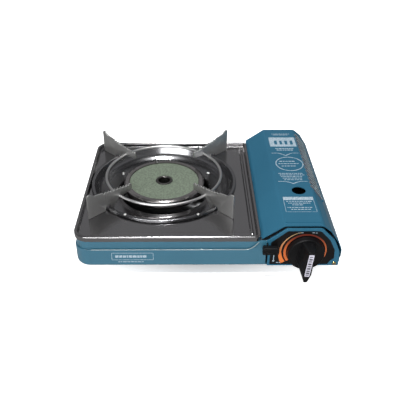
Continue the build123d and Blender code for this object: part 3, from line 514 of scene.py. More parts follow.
@dataclass(frozen=True)
class CastMetal:
    """Die-cast, plated or turned metal of the small fittings."""

    name: str
    colour: Colour
    roughness: float
    grain: float = 500.0

    def make(self) -> bpy.types.Material:
        """Grainy metal with duller patches.

        Returns:
            The finished material.
        """
        g = Graph(self.name)
        patch = g.noise(70.0, 4.0)
        g.feed("Base Color", g.mix(patch, tuple(c * 0.7 for c in self.colour), self.colour))
        g.feed("Metallic", 1.0)
        g.feed("Roughness", self.roughness + (patch - 0.5) * 0.25)
        g.bump(g.noise(self.grain, 3.0), 0.03, 0.3)
        return g.material


@dataclass(frozen=True)
class PrintInk:
    """Screen-printed ink, a little thin where the screen left it."""

    name: str
    colour: Colour
    thin: Colour
    roughness: float = 0.45

    def make(self) -> bpy.types.Material:
        """Ink blended with what lies under it.

        Returns:
            The finished material.
        """
        g = Graph(self.name)
        cover = ((g.noise(700.0, 3.0) - 0.32) * 3.2).bounded()
        g.feed("Base Color", g.mix(cover, self.thin, self.colour))
        g.feed("Roughness", self.roughness + cover * 0.1)
        return g.material


@dataclass(frozen=True)
class FadedInk:
    """Printed colour that changes with height, for the bands of the dial."""

    name: str
    low: Colour
    high: Colour
    span: tuple[float, float]

    def make(self) -> bpy.types.Material:
        """Share = height above the span's foot over its length.

        Returns:
            The finished material.
        """
        g = Graph(self.name)
        height = g.axes(g.place())[2]
        first, last = (level * MM for level in self.span)
        share = ((height - first) / (last - first)).bounded()
        g.feed("Base Color", g.mix(share, self.low, self.high))
        g.feed("Roughness", g.noise(300.0, 2.0) * 0.1 + 0.42)
        return g.material


@dataclass
class Finishes:
    """Every finish of the stove, made once and shared."""

    burner_centre: tuple[float, float]
    made: dict[str, bpy.types.Material] = field(default_factory=dict)

    def make_all(self) -> None:
        """Make each material and keep it under its name."""
        centre = self.burner_centre
        kinds = (
            GlossEnamel("teal_enamel", (0.027, 0.130, 0.210), (0.021, 0.106, 0.176)),
            # lighter grey-teal copy of the lid's paint: a painted highlight on the louvre hoods and the
            # ledge bead
            GlossEnamel("highlight_enamel", (0.24, 0.32, 0.35), (0.18, 0.26, 0.29), 0.28, 0.9, 0.6),
            # same teal paint as the lid, made a little lighter as painted light on the front-lit walls
            GlossEnamel(
                "teal_shell_lit", (0.038, 0.150, 0.220), (0.032, 0.128, 0.192), coat=0.45, gleam=0.5,
                # within this box the casing's inside is painted near-black as shade
                painted_shade_box=((-168.0, -114.5, 10.6), (168.0, 133.9, 51.0)),
            ),
            RolledSteel("plate_steel", (0.34, 0.335, 0.34), 0.19),
            RolledSteel("arm_steel", (0.52, 0.52, 0.51), 0.48, 0.10, (40.0, 40.0, 500.0), 0.03),
            SpunSteel("well_steel", (0.25, 0.25, 0.258), 0.20, centre, 1.6, 60.0, 84.0),
            SpunSteel("cup_steel", (0.42, 0.40, 0.395), 0.20, centre, 1.1, 45.0, 54.0),
            RolledSteel("wire_steel", (0.68, 0.68, 0.68), 0.36, 0.08, (90.0, 90.0, 90.0)),
            RolledSteel("eyelet_steel", (0.16, 0.155, 0.15), 0.34, 0.10, (60.0, 60.0, 60.0)),
            PorousCeramic("burner_ceramic", (0.185, 0.228, 0.170), (0.065, 0.08, 0.057)),
            MouldedPlastic("glazed_ceramic", (0.80, 0.79, 0.74), 0.20, 200.0, 0.01),
            MouldedPlastic("black_plastic", (0.0045, 0.0045, 0.005), 0.40),
            MouldedPlastic("panel_black", (0.006, 0.0056, 0.0056), 0.30, 900.0, 0.012),
            MouldedPlastic("foot_rubber", (0.014, 0.014, 0.015), 0.75, 800.0, 0.06),
            MouldedPlastic("lead_silicone", (0.66, 0.62, 0.55), 0.55, 600.0, 0.02),
            CastMetal("zinc_plate", (0.55, 0.56, 0.57), 0.38, 240.0),
            CastMetal("die_casting", (0.62, 0.62, 0.63), 0.46),
            CastMetal("brass", (0.78, 0.56, 0.22), 0.26),
            CastMetal("bright_screw", (0.95, 0.95, 0.93), 0.30),
            MouldedPlastic("label_foil", (0.53, 0.52, 0.60), 0.34, 300.0, 0.01),
            PrintInk("white_ink", (0.50, 0.56, 0.62), (0.12, 0.26, 0.34)),
            FadedInk("orange_ink", (0.70, 0.17, 0.025), (0.50, 0.34, 0.16), (34.0, 60.0)),
            FadedInk("red_ink", (0.62, 0.13, 0.02), (0.15, 0.02, 0.008), (36.0, 58.0)),
            # dark ink for the knob's print, also used as painted shade on the screw's cross and in the
            # louvre mouths
            PrintInk("dark_ink_and_shade", (0.03, 0.03, 0.035), (0.10, 0.10, 0.12)),
        )
        for kind in kinds:
            self.made[kind.name] = kind.make()

    def __getitem__(self, name: str) -> bpy.types.Material:
        """The material with that name."""
        return self.made[name]


# --------------------------------------------------------------------------
# Surfaces worked out with numpy
# --------------------------------------------------------------------------


def grid_faces(rows: int, columns: int, close_rows: bool, close_columns: bool) -> Array:
    """Quads that join a grid of points, each row to the next.

    Args:
        rows: number of rows.
        columns: points in a row.
        close_rows: join the last row to the first.
        close_columns: join the end of each row to its start.

    Returns:
        Four point numbers for each quad.
    """
    i = np.arange(rows if close_rows else rows - 1)
    j = np.arange(columns if close_columns else columns - 1)
    i, j = np.meshgrid(i, j, indexing="ij")
    below, beside = (i + 1) % rows, (j + 1) % columns
    corners = (i * columns + j, i * columns + beside, below * columns + beside, below * columns + j)
    return np.stack(corners, -1).reshape(-1, 4)


def tube_faces(rings: int, sides: int, closed: bool = False) -> list[list[int]]:
    """Quads round a row of rings, with a flat face over each open end.

    Args:
        rings: number of rings.
        sides: points in a ring.
        closed: join the last ring to the first and leave the end faces out.

    Returns:
        Point numbers of each face.
    """
    faces = grid_faces(rings, sides, closed, True).tolist()
    if not closed:
        last = sides * (rings - 1)
        faces += [list(range(sides))[::-1], list(range(last, last + sides))]
    return faces


def lathe(section: Array, centre: Sequence[float], turns: int) -> tuple[Array, Array]:
    """Closed section turned about a vertical axis.

    Args:
        section: radius and height of each point of the closed section, anticlockwise.
        centre: X and Y of the axis.
        turns: steps round the axis.

    Returns:
        Points and faces.
    """
    angle = np.linspace(0, 2 * np.pi, turns, endpoint=False)[:, None]
    radius, height = section[None, :, 0], section[None, :, 1]
    x = centre[0] + radius * np.cos(angle)
    y = centre[1] + radius * np.sin(angle)
    z = np.broadcast_to(height, x.shape)
    points = np.stack([x, y, z], -1).reshape(-1, 3)
    return points, grid_faces(turns, len(section), True, True)


def sheet_section(top: Array, thickness: float) -> Array:
    """Closed section of a sheet whose upper side is given.

    The lower side is the upper one moved along its normal by the thickness.

    Args:
        top: radius and height along the upper side, going inwards.
        thickness: sheet thickness.

    Returns:
        The closed section.
    """
    along = np.gradient(top, axis=0)
    along /= np.linalg.norm(along, axis=1, keepdims=True)
    normal = np.stack([-along[:, 1], along[:, 0]], -1)
    return np.vstack([top, (top + normal * thickness)[::-1]])


def ribbon(
    path: Array, widths: "Array | float", up: Sequence[float], thickness: float, closed: bool = False
) -> tuple[Array, list]:
    """Flat strip with square edges that lies along a path.

    Each cross-section is a rectangle centred on the path, as wide as given
    and raised along up.

    Args:
        path: places along the middle of the strip.
        widths: full width, one value or one for each place.
        up: direction the strip is raised in.
        thickness: height of the strip.
        closed: join the last place to the first.

    Returns:
        Points and faces.
    """
    up = np.asarray(up, float) / np.linalg.norm(up)
    along = np.roll(path, -1, 0) - np.roll(path, 1, 0) if closed else np.gradient(path, axis=0)
    along /= np.linalg.norm(along, axis=1, keepdims=True)
    side = np.cross(along, up)
    side /= np.linalg.norm(side, axis=1, keepdims=True)
    half = (np.broadcast_to(widths, len(path)) / 2)[:, None] * side
    rise = up[None, :] * thickness
    ring = np.stack([path - half, path + half, path + half + rise, path - half + rise], 1)
    return ring.reshape(-1, 3), [face[::-1] for face in tube_faces(len(path), 4, closed)]


def tube(path: Array, radius: float, sides: int = 20, closed: bool = False) -> tuple[Array, list]:
    """Round bar along a path, carried by a frame that turns as little as it can.

    Args:
        path: places along the middle of the bar.
        radius: bar radius.
        sides: facets round the bar.
        closed: join the end to the start.

    Returns:
        Points and faces.
    """
    along = np.roll(path, -1, 0) - np.roll(path, 1, 0) if closed else np.gradient(path, axis=0)
    along /= np.linalg.norm(along, axis=1, keepdims=True)
    guide = np.array([0.0, 0.0, 1.0])
    if np.abs(along @ guide).max() > 0.95:
        guide = np.array([0.31, 0.95, 0.05])
    side = np.cross(along, guide)
    side /= np.linalg.norm(side, axis=1, keepdims=True)
    other = np.cross(along, side)
    angle = np.linspace(0, 2 * np.pi, sides, endpoint=False)[None, :, None]
    ring = path[:, None] + radius * (np.cos(angle) * side[:, None] + np.sin(angle) * other[:, None])
    return ring.reshape(-1, 3), tube_faces(len(path), sides, closed)


def join(parts: Iterable[tuple[Array, Iterable]]) -> tuple[Array, list]:
    """Several meshes as one.

    Args:
        parts: points and faces of each.

    Returns:
        Points and faces of all of them.
    """
    points: list[Array] = []
    faces: list[list[int]] = []
    count = 0
    for own_points, own_faces in parts:
        points.append(own_points)
        faces += [[int(k) + count for k in f] for f in own_faces]
        count += len(own_points)
    return np.vstack(points), faces


def circle_path(centre: Array, radius: float, steps: int) -> Array:
    """Full level circle.

    Args:
        centre: middle.
        radius: radius.
        steps: number of places.

    Returns:
        Places round the circle.
    """
    angle = np.linspace(0, 2 * np.pi, steps, endpoint=False)
    return centre + radius * np.stack([np.cos(angle), np.sin(angle), np.zeros(steps)], -1)


def filleted(
    points: Sequence[tuple[float, float]], radii: Sequence[float], closed: bool, steps: int = 7
) -> Array:
    """Polyline whose corners are replaced by arcs.

    The arc at a corner has its centre on the bisector, radius / sin(half the
    corner's angle) away, and runs between the two points where the sides touch
    it.

    Args:
        points: corners in order.
        radii: radius at each rounded corner; an open line keeps its two ends.
        closed: join the last corner to the first.
        steps: samples along each arc.

    Returns:
        Samples, one row each.
    """
    p = np.asarray(points, float)
    mid = p if closed else p[1:-1]
    before = np.roll(p, 1, 0) if closed else p[:-2]
    after = np.roll(p, -1, 0) if closed else p[2:]
    a = (before - mid) / np.linalg.norm(before - mid, axis=1, keepdims=True)
    b = (after - mid) / np.linalg.norm(after - mid, axis=1, keepdims=True)
    half = np.arccos(np.clip((a * b).sum(1), -1, 1)) / 2
    r = np.maximum(np.asarray(radii, float), 1e-3)
    inward = (a + b) / np.linalg.norm(a + b, axis=1, keepdims=True)
    across = (b - a) / np.linalg.norm(b - a, axis=1, keepdims=True)
    centre = mid + inward * (r / np.sin(half))[:, None]
    sweep = (np.pi / 2 - half)[:, None] * np.linspace(-1, 1, steps)[None, :]
    arc = -np.cos(sweep)[..., None] * inward[:, None] + np.sin(sweep)[..., None] * across[:, None]
    samples = (centre[:, None] + arc * r[:, None, None]).reshape(-1, 2)
    return samples if closed else np.vstack([p[:1], samples, p[-1:]])


def evened(line: Array, spacing: float, closed: bool) -> Array:
    """Samples of a line at even steps, found by walking its length.

    Args:
        line: places along the line.
        spacing: rough distance between samples.
        closed: the line returns to its start.

    Returns:
        The new samples.
    """
    ends = np.vstack([line, line[:1]]) if closed else line
    length = np.concatenate([[0.0], np.cumsum(np.linalg.norm(np.diff(ends, axis=0), axis=1))])
    count = max(3, int(round(length[-1] / spacing)))
    at = np.linspace(0, length[-1], count, endpoint=not closed)
    return np.stack([np.interp(at, length, ends[:, k]) for k in range(ends.shape[1])], -1)


def outward(outline: Array) -> Array:
    """Unit normals of a closed outline that runs anticlockwise, pointing away from its inside.

    Args:
        outline: closed outline.

    Returns:
        One normal for each place.
    """
    along = np.roll(outline, -1, 0) - np.roll(outline, 1, 0)
    along /= np.linalg.norm(along, axis=1, keepdims=True)
    return np.stack([along[:, 1], -along[:, 0]], -1)


@dataclass(frozen=True)
class Face:
    """A flat place to draw on: an origin and the directions across, up and out of it."""

    origin: tuple[float, float, float]
    across: tuple[float, float, float]
    up: tuple[float, float, float]

    @property
    def out(self) -> Array:
        """Direction out of the face."""
        return np.cross(self.across, self.up)

    def at(self, flat: Array, height: "Array | float" = 0.0) -> Array:
        """Places on the face in space.

        Args:
            flat: distance across and up of each place.
            height: distance out of the face.

        Returns:
            Points in space.
        """
        flat = np.asarray(flat, float)
        base = np.asarray(self.origin, float)
        across, up = np.asarray(self.across, float), np.asarray(self.up, float)
        spread = flat[..., :1] * across + flat[..., 1:2] * up
        return base + spread + np.broadcast_to(height, flat.shape[:-1])[..., None] * self.out


def slab(face: Face, outline: Array, low: float, high: float, bevel: float) -> tuple[Array, list]:
    """Flat piece with rounded rims, from a closed outline.

    Four rings follow the outline: the two outer ones stand on it and the two
    on the faces lie a bevel inside it.

    Args:
        face: plane of the outline.
        outline: closed outline, anticlockwise.
        low: height of the back.
        high: height of the front.
        bevel: width of the broken edge.

    Returns:
        Points and faces.
    """
    step = bevel * 0.3
    inner = outline - outward(outline) * bevel
    soft = outline - outward(outline) * bevel * 0.3
    levels = (
        (inner, low),
        (soft, low + step),
        (outline, low + bevel),
        (outline, high - bevel),
        (soft, high - step),
        (inner, high),
    )
    points = np.vstack([face.at(ring, level) for ring, level in levels])
    return points, tube_faces(len(levels), len(outline))


def plaques(face: Face, centres: Array, halves: Array, thickness: float) -> tuple[Array, list]:
    """Many thin rectangular blocks on a face.

    Args:
        face: face they lie on.
        centres: middle of each, across and up.
        halves: half width and half height of each.
        thickness: how far they stand out.

    Returns:
        Points and faces.
    """
    signs = np.array([(-1, -1), (1, -1), (1, 1), (-1, 1)], float)
    flat = np.asarray(centres, float)[:, None] + signs[None] * np.asarray(halves, float)[:, None]
    both = np.stack([face.at(flat, 0.0), face.at(flat, thickness)], 1).reshape(-1, 3)
    block = np.array([[3, 2, 1, 0], [4, 5, 6, 7], [0, 1, 5, 4], [1, 2, 6, 5], [2, 3, 7, 6], [3, 0, 4, 7]])
    faces = (np.arange(len(flat))[:, None, None] * 8 + block[None]).reshape(-1, 4)
    return both, faces.tolist()


def stroke(
    face: Face, line: Array, widths: "Array | float", thickness: float, closed: bool = False
) -> tuple[Array, list]:
    """Printed line on a face, raised by its thickness.

    Args:
        face: face it lies on.
        line: middle of the line, across and up.
        widths: full width, one value or one for each place.
        thickness: how far it stands out.
        closed: the line returns to its start.

    Returns:
        Points and faces.
    """
    return ribbon(face.at(line), widths, face.out, thickness, closed)


def arc_line(
    centre: tuple[float, float], radii: "Array | float", start: float, stop: float, steps: int
) -> Array:
    """Arc or spiral in a plane, from one angle to another in degrees.

    Args:
        centre: middle.
        radii: radius, one value or one for each step.
        start: first angle.
        stop: last angle.
        steps: number of places.

    Returns:
        Places along the arc.
    """
    angle = np.radians(np.linspace(start, stop, steps))
    r = np.broadcast_to(radii, steps)
    return np.stack([centre[0] + r * np.cos(angle), centre[1] + r * np.sin(angle)], -1)


def dash_rows(
    seed: int, left: Sequence[float], right: Sequence[float], rows: Sequence[float], height: float
) -> tuple[Array, Array]:
    """Rows of short bars of uneven length, like lines of small print without any letters.

    Args:
        seed: start of the random lengths.
        left: where each row starts.
        right: where each row ends.
        rows: height of each row's middle.
        height: half height of a bar.

    Returns:
        Centres and half sizes of the bars.
    """
    draw = np.random.default_rng(seed)
    shortest, longest, gap, most = 1.6, 5.2, 0.9, 40
    centres, halves = [], []
    for start, stop, level in zip(left, right, rows):
        lengths = draw.uniform(shortest, longest, most)
        ends = start + np.cumsum(lengths + gap)
        keep = ends < stop
        mids = ends[keep] - lengths[keep] / 2 - gap
        centres.append(np.stack([mids, np.full(keep.sum(), level)], -1))
        halves.append(np.stack([lengths[keep] / 2, np.full(keep.sum(), height)], -1))
    return np.vstack(centres), np.vstack(halves)


# --------------------------------------------------------------------------
# Sub-assemblies
# --------------------------------------------------------------------------


@dataclass
class SubAssembly:
    """A group of pieces that are made together, and the finishes they take."""

    finishes: Finishes

    def piece(
        self,
        name: str,
        shape: "tuple[Array, Sequence[Sequence[int]]]",
        body: Body,
        slot: Slot,
        finish: str,
        sharp_degrees: float = 30.0,
    ) -> bpy.types.Object:
        """Put points and faces into a new object that rides on a body.

        Args:
            name: piece name.
            shape: corner places in millimetres, and the corner numbers of each face.
            body: body the piece moves with.
            slot: record slot of its finish; not used.
            finish: name of the finish.
            sharp_degrees: edges that bend more than this stay crisp.

        Returns:
            The new object.
        """
        points, faces = shape
        mesh = bpy.data.meshes.new(name)
        corners = (np.asarray(points, float).reshape(-1, 3) * MM).tolist()
        mesh.from_pydata(corners, [], [list(map(int, face)) for face in faces])
        mesh.validate()
        mesh.materials.append(self.finishes[finish])
        mesh.shade_smooth()
        mesh.set_sharp_from_angle(angle=math.radians(sharp_degrees))
        piece = bpy.data.objects.new(name, mesh)
        bpy.context.scene.collection.objects.link(piece)
        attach(piece, body.value)
        LOG.info("piece %s: %d faces on %s", name, len(faces), body.value)
        return piece


@dataclass
class TopPlate(SubAssembly):
    """Pressed stainless plate round the well, with a rounded rim and one long ridge."""

    centre: tuple[float, float]
    left: float = -175.0
    right: float = 68.0
    front: float = -121.5
    back: float = 136.8
    left_r: float = 20.0
    right_r: float = 8.0
    under_z: float = 51.2
    floor_z: float = 52.0
    rim_z: float = 58.6
    hole_r: float = 101.7
    rim_w: float = 4.4
    ridge_x: float = 57.0
    ridge_h: float = 3.0
    ridge_half: float = 2.6
    ridge_inset: float = 9.0
    ridge_end: float = 8.0
    ridge_sunk: float = 0.3

    def rim_section(self) -> Array:
        """Distance in from the edge and height, from the outer foot over the rim to the floor.

        Returns:
            Samples of the open section.
        """
        corners = [
            (0.0, self.under_z),
            (0.0, self.rim_z),
            (self.rim_w, self.rim_z),
            (5.2, self.floor_z),
            (8.0, self.floor_z),
        ]
        return evened(filleted(corners, [2.1, 2.0, 1.5], False, 12), 0.35, False)

    def build(self) -> None:
        """Make the plate and its ridge.

        A ring of the section is carried round the rounded outline. From the
        foot of the rim the floor runs in straight lines to the hole for the
        well, and the flat underside closes the piece.
        """
        ends = [(self.left, self.left_r), (self.right, self.right_r)]
        corners = [(x, self.front) for x, _ in ends] + [(x, self.back) for x, _ in ends[::-1]]
        radii = [r for _, r in ends + ends[::-1]]
        outline = evened(filleted(corners, radii, True, 40), 1.6, True)
        inwards = -outward(outline)
        rim = self.rim_section()
        place = outline[:, None] + inwards[:, None] * rim[None, :, :1]
        height = np.broadcast_to(rim[None, :, 1:2], (len(outline), len(rim), 1))
        upper = np.concatenate([place, height], -1)
        foot = place[:, -1]
        spoke = foot - np.array(self.centre)
        hole = np.array(self.centre) + spoke / np.linalg.norm(spoke, axis=1, keepdims=True) * self.hole_r
        share = np.linspace(0, 1, 14)[1:, None]
        flat = foot[:, None] * (1 - share) + hole[:, None] * share
        floor = np.concatenate([flat, np.full((*flat.shape[:2], 1), self.floor_z)], -1)
        under = np.concatenate([hole, np.full((len(hole), 1), self.under_z)], -1)[:, None]
        rings = np.concatenate([upper, floor, under], 1)
        faces = grid_faces(len(outline), rings.shape[1], True, True)
        piece = self.piece("plate_tray", (rings, faces), Body.STOVE, Slot.STAINLESS, "plate_steel", 32.0)
        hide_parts("top_plate")
        self.ridge()

    def ridge(self) -> None:
        """Make the long ridge: a low arch in cross-section whose ends sink into the floor."""
        low, high = self.front + self.ridge_inset, self.back - self.ridge_inset
        end, sunk = self.ridge_end, self.ridge_sunk
        runs = ((low, low + end, 12), (low + 12, high - 12, 20), (high - end, high, 12))
        y = np.concatenate([np.linspace(*run) for run in runs])
        ease = np.sin(np.clip(np.minimum(y - low, high - y) / end, 0, 1) * np.pi / 2)
        around = np.linspace(0, np.pi, 17)
        x = self.ridge_x - self.ridge_half * np.cos(around)[None, :] * np.maximum(ease, 0.25)[:, None]
        z = self.floor_z - sunk + (self.ridge_h + sunk) * np.sin(around)[None, :] ** 1.3 * ease[:, None]
        points = np.stack([x, np.broadcast_to(y[:, None], x.shape), z], -1)
        shape = points, tube_faces(len(y), len(around))
        self.piece("plate_ridge", shape, Body.STOVE, Slot.STAINLESS, "plate_steel", 60.0)


def domed_head(place: Array, axis: Array, radius: float, height: float) -> tuple[Array, list]:
    """Low dome with a flat foot, standing on a surface.

    Its outline is a quarter turn of an ellipse, carried round the axis and
    closed by one point at the top and a flat face below.

    Args:
        place: middle of the foot.
        axis: direction the dome points in.
        radius: radius of the foot.
        height: height of the dome.

    Returns:
        Points and faces.
    """
    axis = np.asarray(axis, float) / np.linalg.norm(axis)
    first = np.cross(axis, (0.3, 0.9, 0.31))
    first /= np.linalg.norm(first)
    second = np.cross(axis, first)
    rows, sides = 8, 24
    rise = np.radians(np.linspace(0, 80, rows))[:, None, None]
    turn = np.linspace(0, 2 * np.pi, sides, endpoint=False)[None, :, None]
    ring = np.cos(turn) * first + np.sin(turn) * second
    shell = place + radius * np.cos(rise) * ring + height * np.sin(rise) * axis
    points = np.vstack([shell.reshape(-1, 3), place + height * axis])
    faces = grid_faces(rows, sides, False, True).tolist()
    top = len(points) - 1
    last = top - sides
    faces += [[last + k, last + (k + 1) % sides, top] for k in range(sides)]
    return points, faces + [list(range(sides))[::-1]]


@dataclass
class WellFasteners(SubAssembly):
    """Bright screw heads in the bottom of the well and rivets on its bead."""

    centre: tuple[float, float]
    screw_r: float = 82.0
    screw_z: float = 36.8
    screw_head: float = 3.0
    screw_angles: tuple[float, ...] = (36.0, 144.0, 241.5, 298.5)
    rivet_r: float = 104.5
    rivet_z: float = 55.9
    rivet_head: float = 2.2
    rivet_angles: tuple[float, ...] = (242.0, 298.5)
    dome: float = 0.62

    def row(self, angles: tuple[float, ...], distance: float, height: float, head: float) -> list:
        """Domed heads on a circle round the burner.

        Args:
            angles: where the heads stand, in degrees.
            distance: radius of the circle.
            height: level of their feet.
            head: radius of a head.

        Returns:
            Points and faces of each head.
        """
        up = np.array([0.0, 0.0, 1.0])
        turns = [math.radians(angle) for angle in angles]
        middles = [(distance * math.cos(t), distance * math.sin(t), height) for t in turns]
        centre = np.array([*self.centre, 0.0])
        return [domed_head(centre + middle, up, head, head * self.dome) for middle in middles]

    def build(self) -> None:
        """Make the heads."""
        screws = self.row(self.screw_angles, self.screw_r, self.screw_z, self.screw_head)
        rivets = self.row(self.rivet_angles, self.rivet_r, self.rivet_z, self.rivet_head)
        for name, heads in (("well_screws", screws), ("well_rivets", rivets)):
            shape = join(heads)
            piece = self.piece(f"{name}_domed", shape, Body.STOVE, Slot.POLISHED, "bright_screw", 50.0)
            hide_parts(name)


@dataclass
class KnobPrint(SubAssembly):
    """Small dark ticks on the knob's label, in place of any words."""

    knob: tuple[float, float] = (126.0, 34.5)
    face_y: float = -151.9
    lean: float = -5.0
    tick_half: float = 2.1
    levels: tuple[float, ...] = (15.2, 11.4, 8.0, 4.0, 0.2, -3.4, -7.4, -11.0, -14.0)
    tick_heights: tuple[float, ...] = (0.6, 1.2, 0.8, 1.3, 0.8, 1.2, 0.9, 1.3, 0.6)
    ink: float = 0.05

    def build(self) -> None:
        """Make the ticks, set out along the label."""
        turn = math.radians(self.lean)
        up = (-math.sin(turn), 0.0, math.cos(turn))
        across = (math.cos(turn), 0.0, math.sin(turn))
        face = Face((self.knob[0], self.face_y, self.knob[1]), across, up)
        centres = np.array([(0.0, level) for level in self.levels])
        halves = np.array([(self.tick_half, half) for half in self.tick_heights])
        ticks = plaques(face, centres, halves, self.ink)
        self.piece("label_ticks", ticks, Body.KNOB, Slot.LABEL, "dark_ink_and_shade")


@dataclass
class BurnerWell(SubAssembly):
    """The spun bowl round the burner, with a rolled outer bead and pressed rings."""

    centre: tuple[float, float]
    bead_r: float = 104.7
    bead_z: float = 56.0
    plate_z: float = 52.0
    lip_r: float = 67.0
    sheet: float = 0.8

    def section(self) -> Array:
        """Upper side of the sheet, from the skirt of the bead in to the lip.

        Returns:
            Radius and height along the open section.
        """
        r, z = self.bead_r, self.bead_z
        corners = [
            (r + 2.6, self.plate_z + self.sheet),
            (r + 1.9, z),
            (r - 2.2, z),
            (r - 8.5, 43.0),
            (r - 18.0, 37.0),
            (self.lip_r + 4, 35.2),
            (self.lip_r, 38.0),
        ]
        return evened(filleted(corners, [1.2, 1.6, 14, 8, 2], False, 14), 0.55, False)

    def build(self) -> None:
        """Make the well."""
        bowl = lathe(sheet_section(self.section(), self.sheet), self.centre, 256)
        piece = self.piece("well_bowl", bowl, Body.STOVE, Slot.STAINLESS, "well_steel", 50.0)
        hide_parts("burner_well")


@dataclass
class PanSupport(SubAssembly):
    """Four upright arms with a notched top edge, on a wire ring."""

    centre: tuple[float, float]
    thickness: float = 2.2
    inner_r: float = 62.0
    outer_r: float = 138.0
    foot_z: float = 52.35
    bead_r: float = 104.7
    ring_r: float = 84.2
    ring_z: float = 65.3
    wire_r: float = 2.0
    tooth_pitch: float = 5.2
    notch_r: float = 2.0
    teeth: int = 9
    horn_z: float = 88.5
    edge_z: float = 76.6
    edge_slope: float = 0.085
    edge_bend: float = 0.00045
    bevel: float = 0.35

    def outline(self) -> Array:
        """Closed side outline of an arm, distance from the axis against height.

        Returns:
            The outline, anticlockwise.
        """
        a, b, w = self.inner_r, self.outer_r, self.bead_r
        top = self.notched_edge()
        lower = [
            (b - 12, 83.0),
            (b - 5.6, self.horn_z),
            (b, self.horn_z),
            (b, self.foot_z),
            (w + 5.5, self.foot_z),
            (w + 4.2, 58.0),
            (w - 3.6, 58.0),
            (w - 5.2, 50.5),
            (w - 8.6, 50.5),
            (86.0, 64.0),
            (a, 66.0),
            (a, 76.0),
        ]
        radii = [9, 2.6, 2.4, 0.5, 0.8, 0.8, 0.8, 0.8, 1, 6, 2.5]
        line = [tuple(top[-1])] + lower
        round_part = filleted(line + [tuple(top[0])], radii + [3.0], False, 7)
        return np.vstack([top[:-1], round_part[:-1]])[::-1]

    def notched_edge(self) -> Array:
        """Top edge, a gentle rise with a row of round notches cut into it.

        Returns:
            Distance from the axis and height of each sample.
        """
        x = np.linspace(self.inner_r + 2.8, self.outer_r - 16.0, 190)
        run = x - self.inner_r
        line = self.edge_z + run * self.edge_slope + self.edge_bend * run**2
        phase = (x - self.inner_r - 6.0) / self.tooth_pitch
        near = (phase - np.round(phase)) * self.tooth_pitch
        cut = np.sqrt(np.maximum(0.0, self.notch_r**2 - near**2))
        inside = (np.round(phase) >= 0) & (np.round(phase) < self.teeth)
        return np.stack([x, line - np.where(inside, cut, 0.0)], -1)

    def build(self) -> None:
        """Make the four arms and the ring."""
        angles = {"front_left": 225, "front_right": 315, "back_right": 45, "back_left": 136.5}
        outline = self.outline()
        half = self.thickness / 2
        for where, degrees in angles.items():
            turn = math.radians(degrees)
            face = Face((*self.centre, 0.0), (math.cos(turn), math.sin(turn), 0.0), (0.0, 0.0, 1.0))
            arm = slab(face, outline, -half, half, self.bevel)
            name = f"arm_{where}"
            piece = self.piece(name, arm, Body.PAN_SUPPORT, Slot.SATIN, "arm_steel", 40.0)
            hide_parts(f"pan_{name}")
        middle = np.array([*self.centre, self.ring_z])
        path = circle_path(middle, self.ring_r, 220)
        ring = tube(path, self.wire_r, 20, True)
        piece = self.piece("wire_ring", ring, Body.PAN_SUPPORT, Slot.POLISHED, "wire_steel", 60.0)
        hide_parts("support_ring")


@dataclass
class DialPanel(SubAssembly):
    """Printed marks of the black front panel, and a dark cross painted on its screw as shade."""

    face_y: float = -120.9
    knob: tuple[float, float] = (126.0, 34.5)
    screw: tuple[float, float, float] = (166.0, -122.82, 15.0)
    cross: tuple[float, float] = (1.7, 0.32)
    steps: int = 90
    ink: float = 0.06

    def build(self) -> None:
        """Make the orange bands, the dark cross painted on the screw as the shade of its recess, and the
        white marks.
        """
        face = Face((0.0, self.face_y, 0.0), (1.0, 0.0, 0.0), (0.0, 0.0, 1.0))
        share = np.linspace(0, 1, self.steps)
        spiral = arc_line(self.knob, 31.4 + 2.1 * share, 104, 213, self.steps)
        outer = stroke(face, spiral, 0.7 + 5.6 * share**2, self.ink)
        arc = arc_line(self.knob, 26.9, 214, -24, self.steps)
        inner = stroke(face, arc, 1.6 + 1.8 * share[::-1], self.ink)
        bands = (("dial_outer_band", outer, "orange_ink"), ("dial_inner_band", inner, "red_ink"))
        for name, band, ink in bands:
            self.piece(name, band, Body.STOVE, Slot.BLACK, ink)
        # painted shade: dark bars on the flat screw head stand for its cross recess
        head = Face(self.screw, (0.8, 0.0, 0.6), (-0.6, 0.0, 0.8))
        bars = np.array([self.cross, self.cross[::-1]])
        cross = plaques(head, np.zeros((2, 2)), bars, self.ink / 2)
        self.piece("screw_cross_shade", cross, Body.STOVE, Slot.BRASS, "dark_ink_and_shade")
        arrow = stroke(face, np.array([(85.6, 31.5), (85.6, 20.5)]), 1.0, self.ink)
        bars = {
            (85.6, 19.0): (1.5, 0.7), (85.6, 17.9): (0.7, 0.6),
            (114.8, 64.2): (1.1, 0.45), (119.0, 64.6): (1.6, 0.45),
            (133.5, 64.6): (1.6, 0.45), (137.6, 64.2): (1.1, 0.45),
            (90.6, 15.9): (1.2, 0.7), (94.2, 15.9): (1.2, 0.7),
        }
        marks = plaques(face, np.array(list(bars)), np.array(list(bars.values())), self.ink)
        self.piece("dial_marks", join([arrow, marks]), Body.STOVE, Slot.BLACK, "white_ink")


@dataclass
class WallPrint(SubAssembly):
    """Plain printed frame with rows of bars on the front wall, all of it wordless."""

    wall_y: float = -121.5
    ink: float = 0.06

    def build(self) -> None:
        """Make the frame and its rows."""
        face = Face((0.0, self.wall_y, 0.0), (1.0, 0.0, 0.0), (0.0, 0.0, 1.0))
        frame_line = np.array([(-126.0, 21.6), (-72.0, 21.6), (-72.0, 32.8), (-126.0, 32.8)], float)
        rows = dash_rows(21, (-121.5, -118.0), (-76.0, -80.0), (27.2, 18.4), 0.7)
        rows[1][:, 1] = np.where(rows[0][:, 1] > 20, 1.9, 0.6)
        edge = stroke(face, evened(frame_line, 1.2, True), 0.6, self.ink, True)
        shape = join([edge, plaques(face, *rows, self.ink)])
        self.piece("wall_print", shape, Body.STOVE, Slot.PAINT, "white_ink")


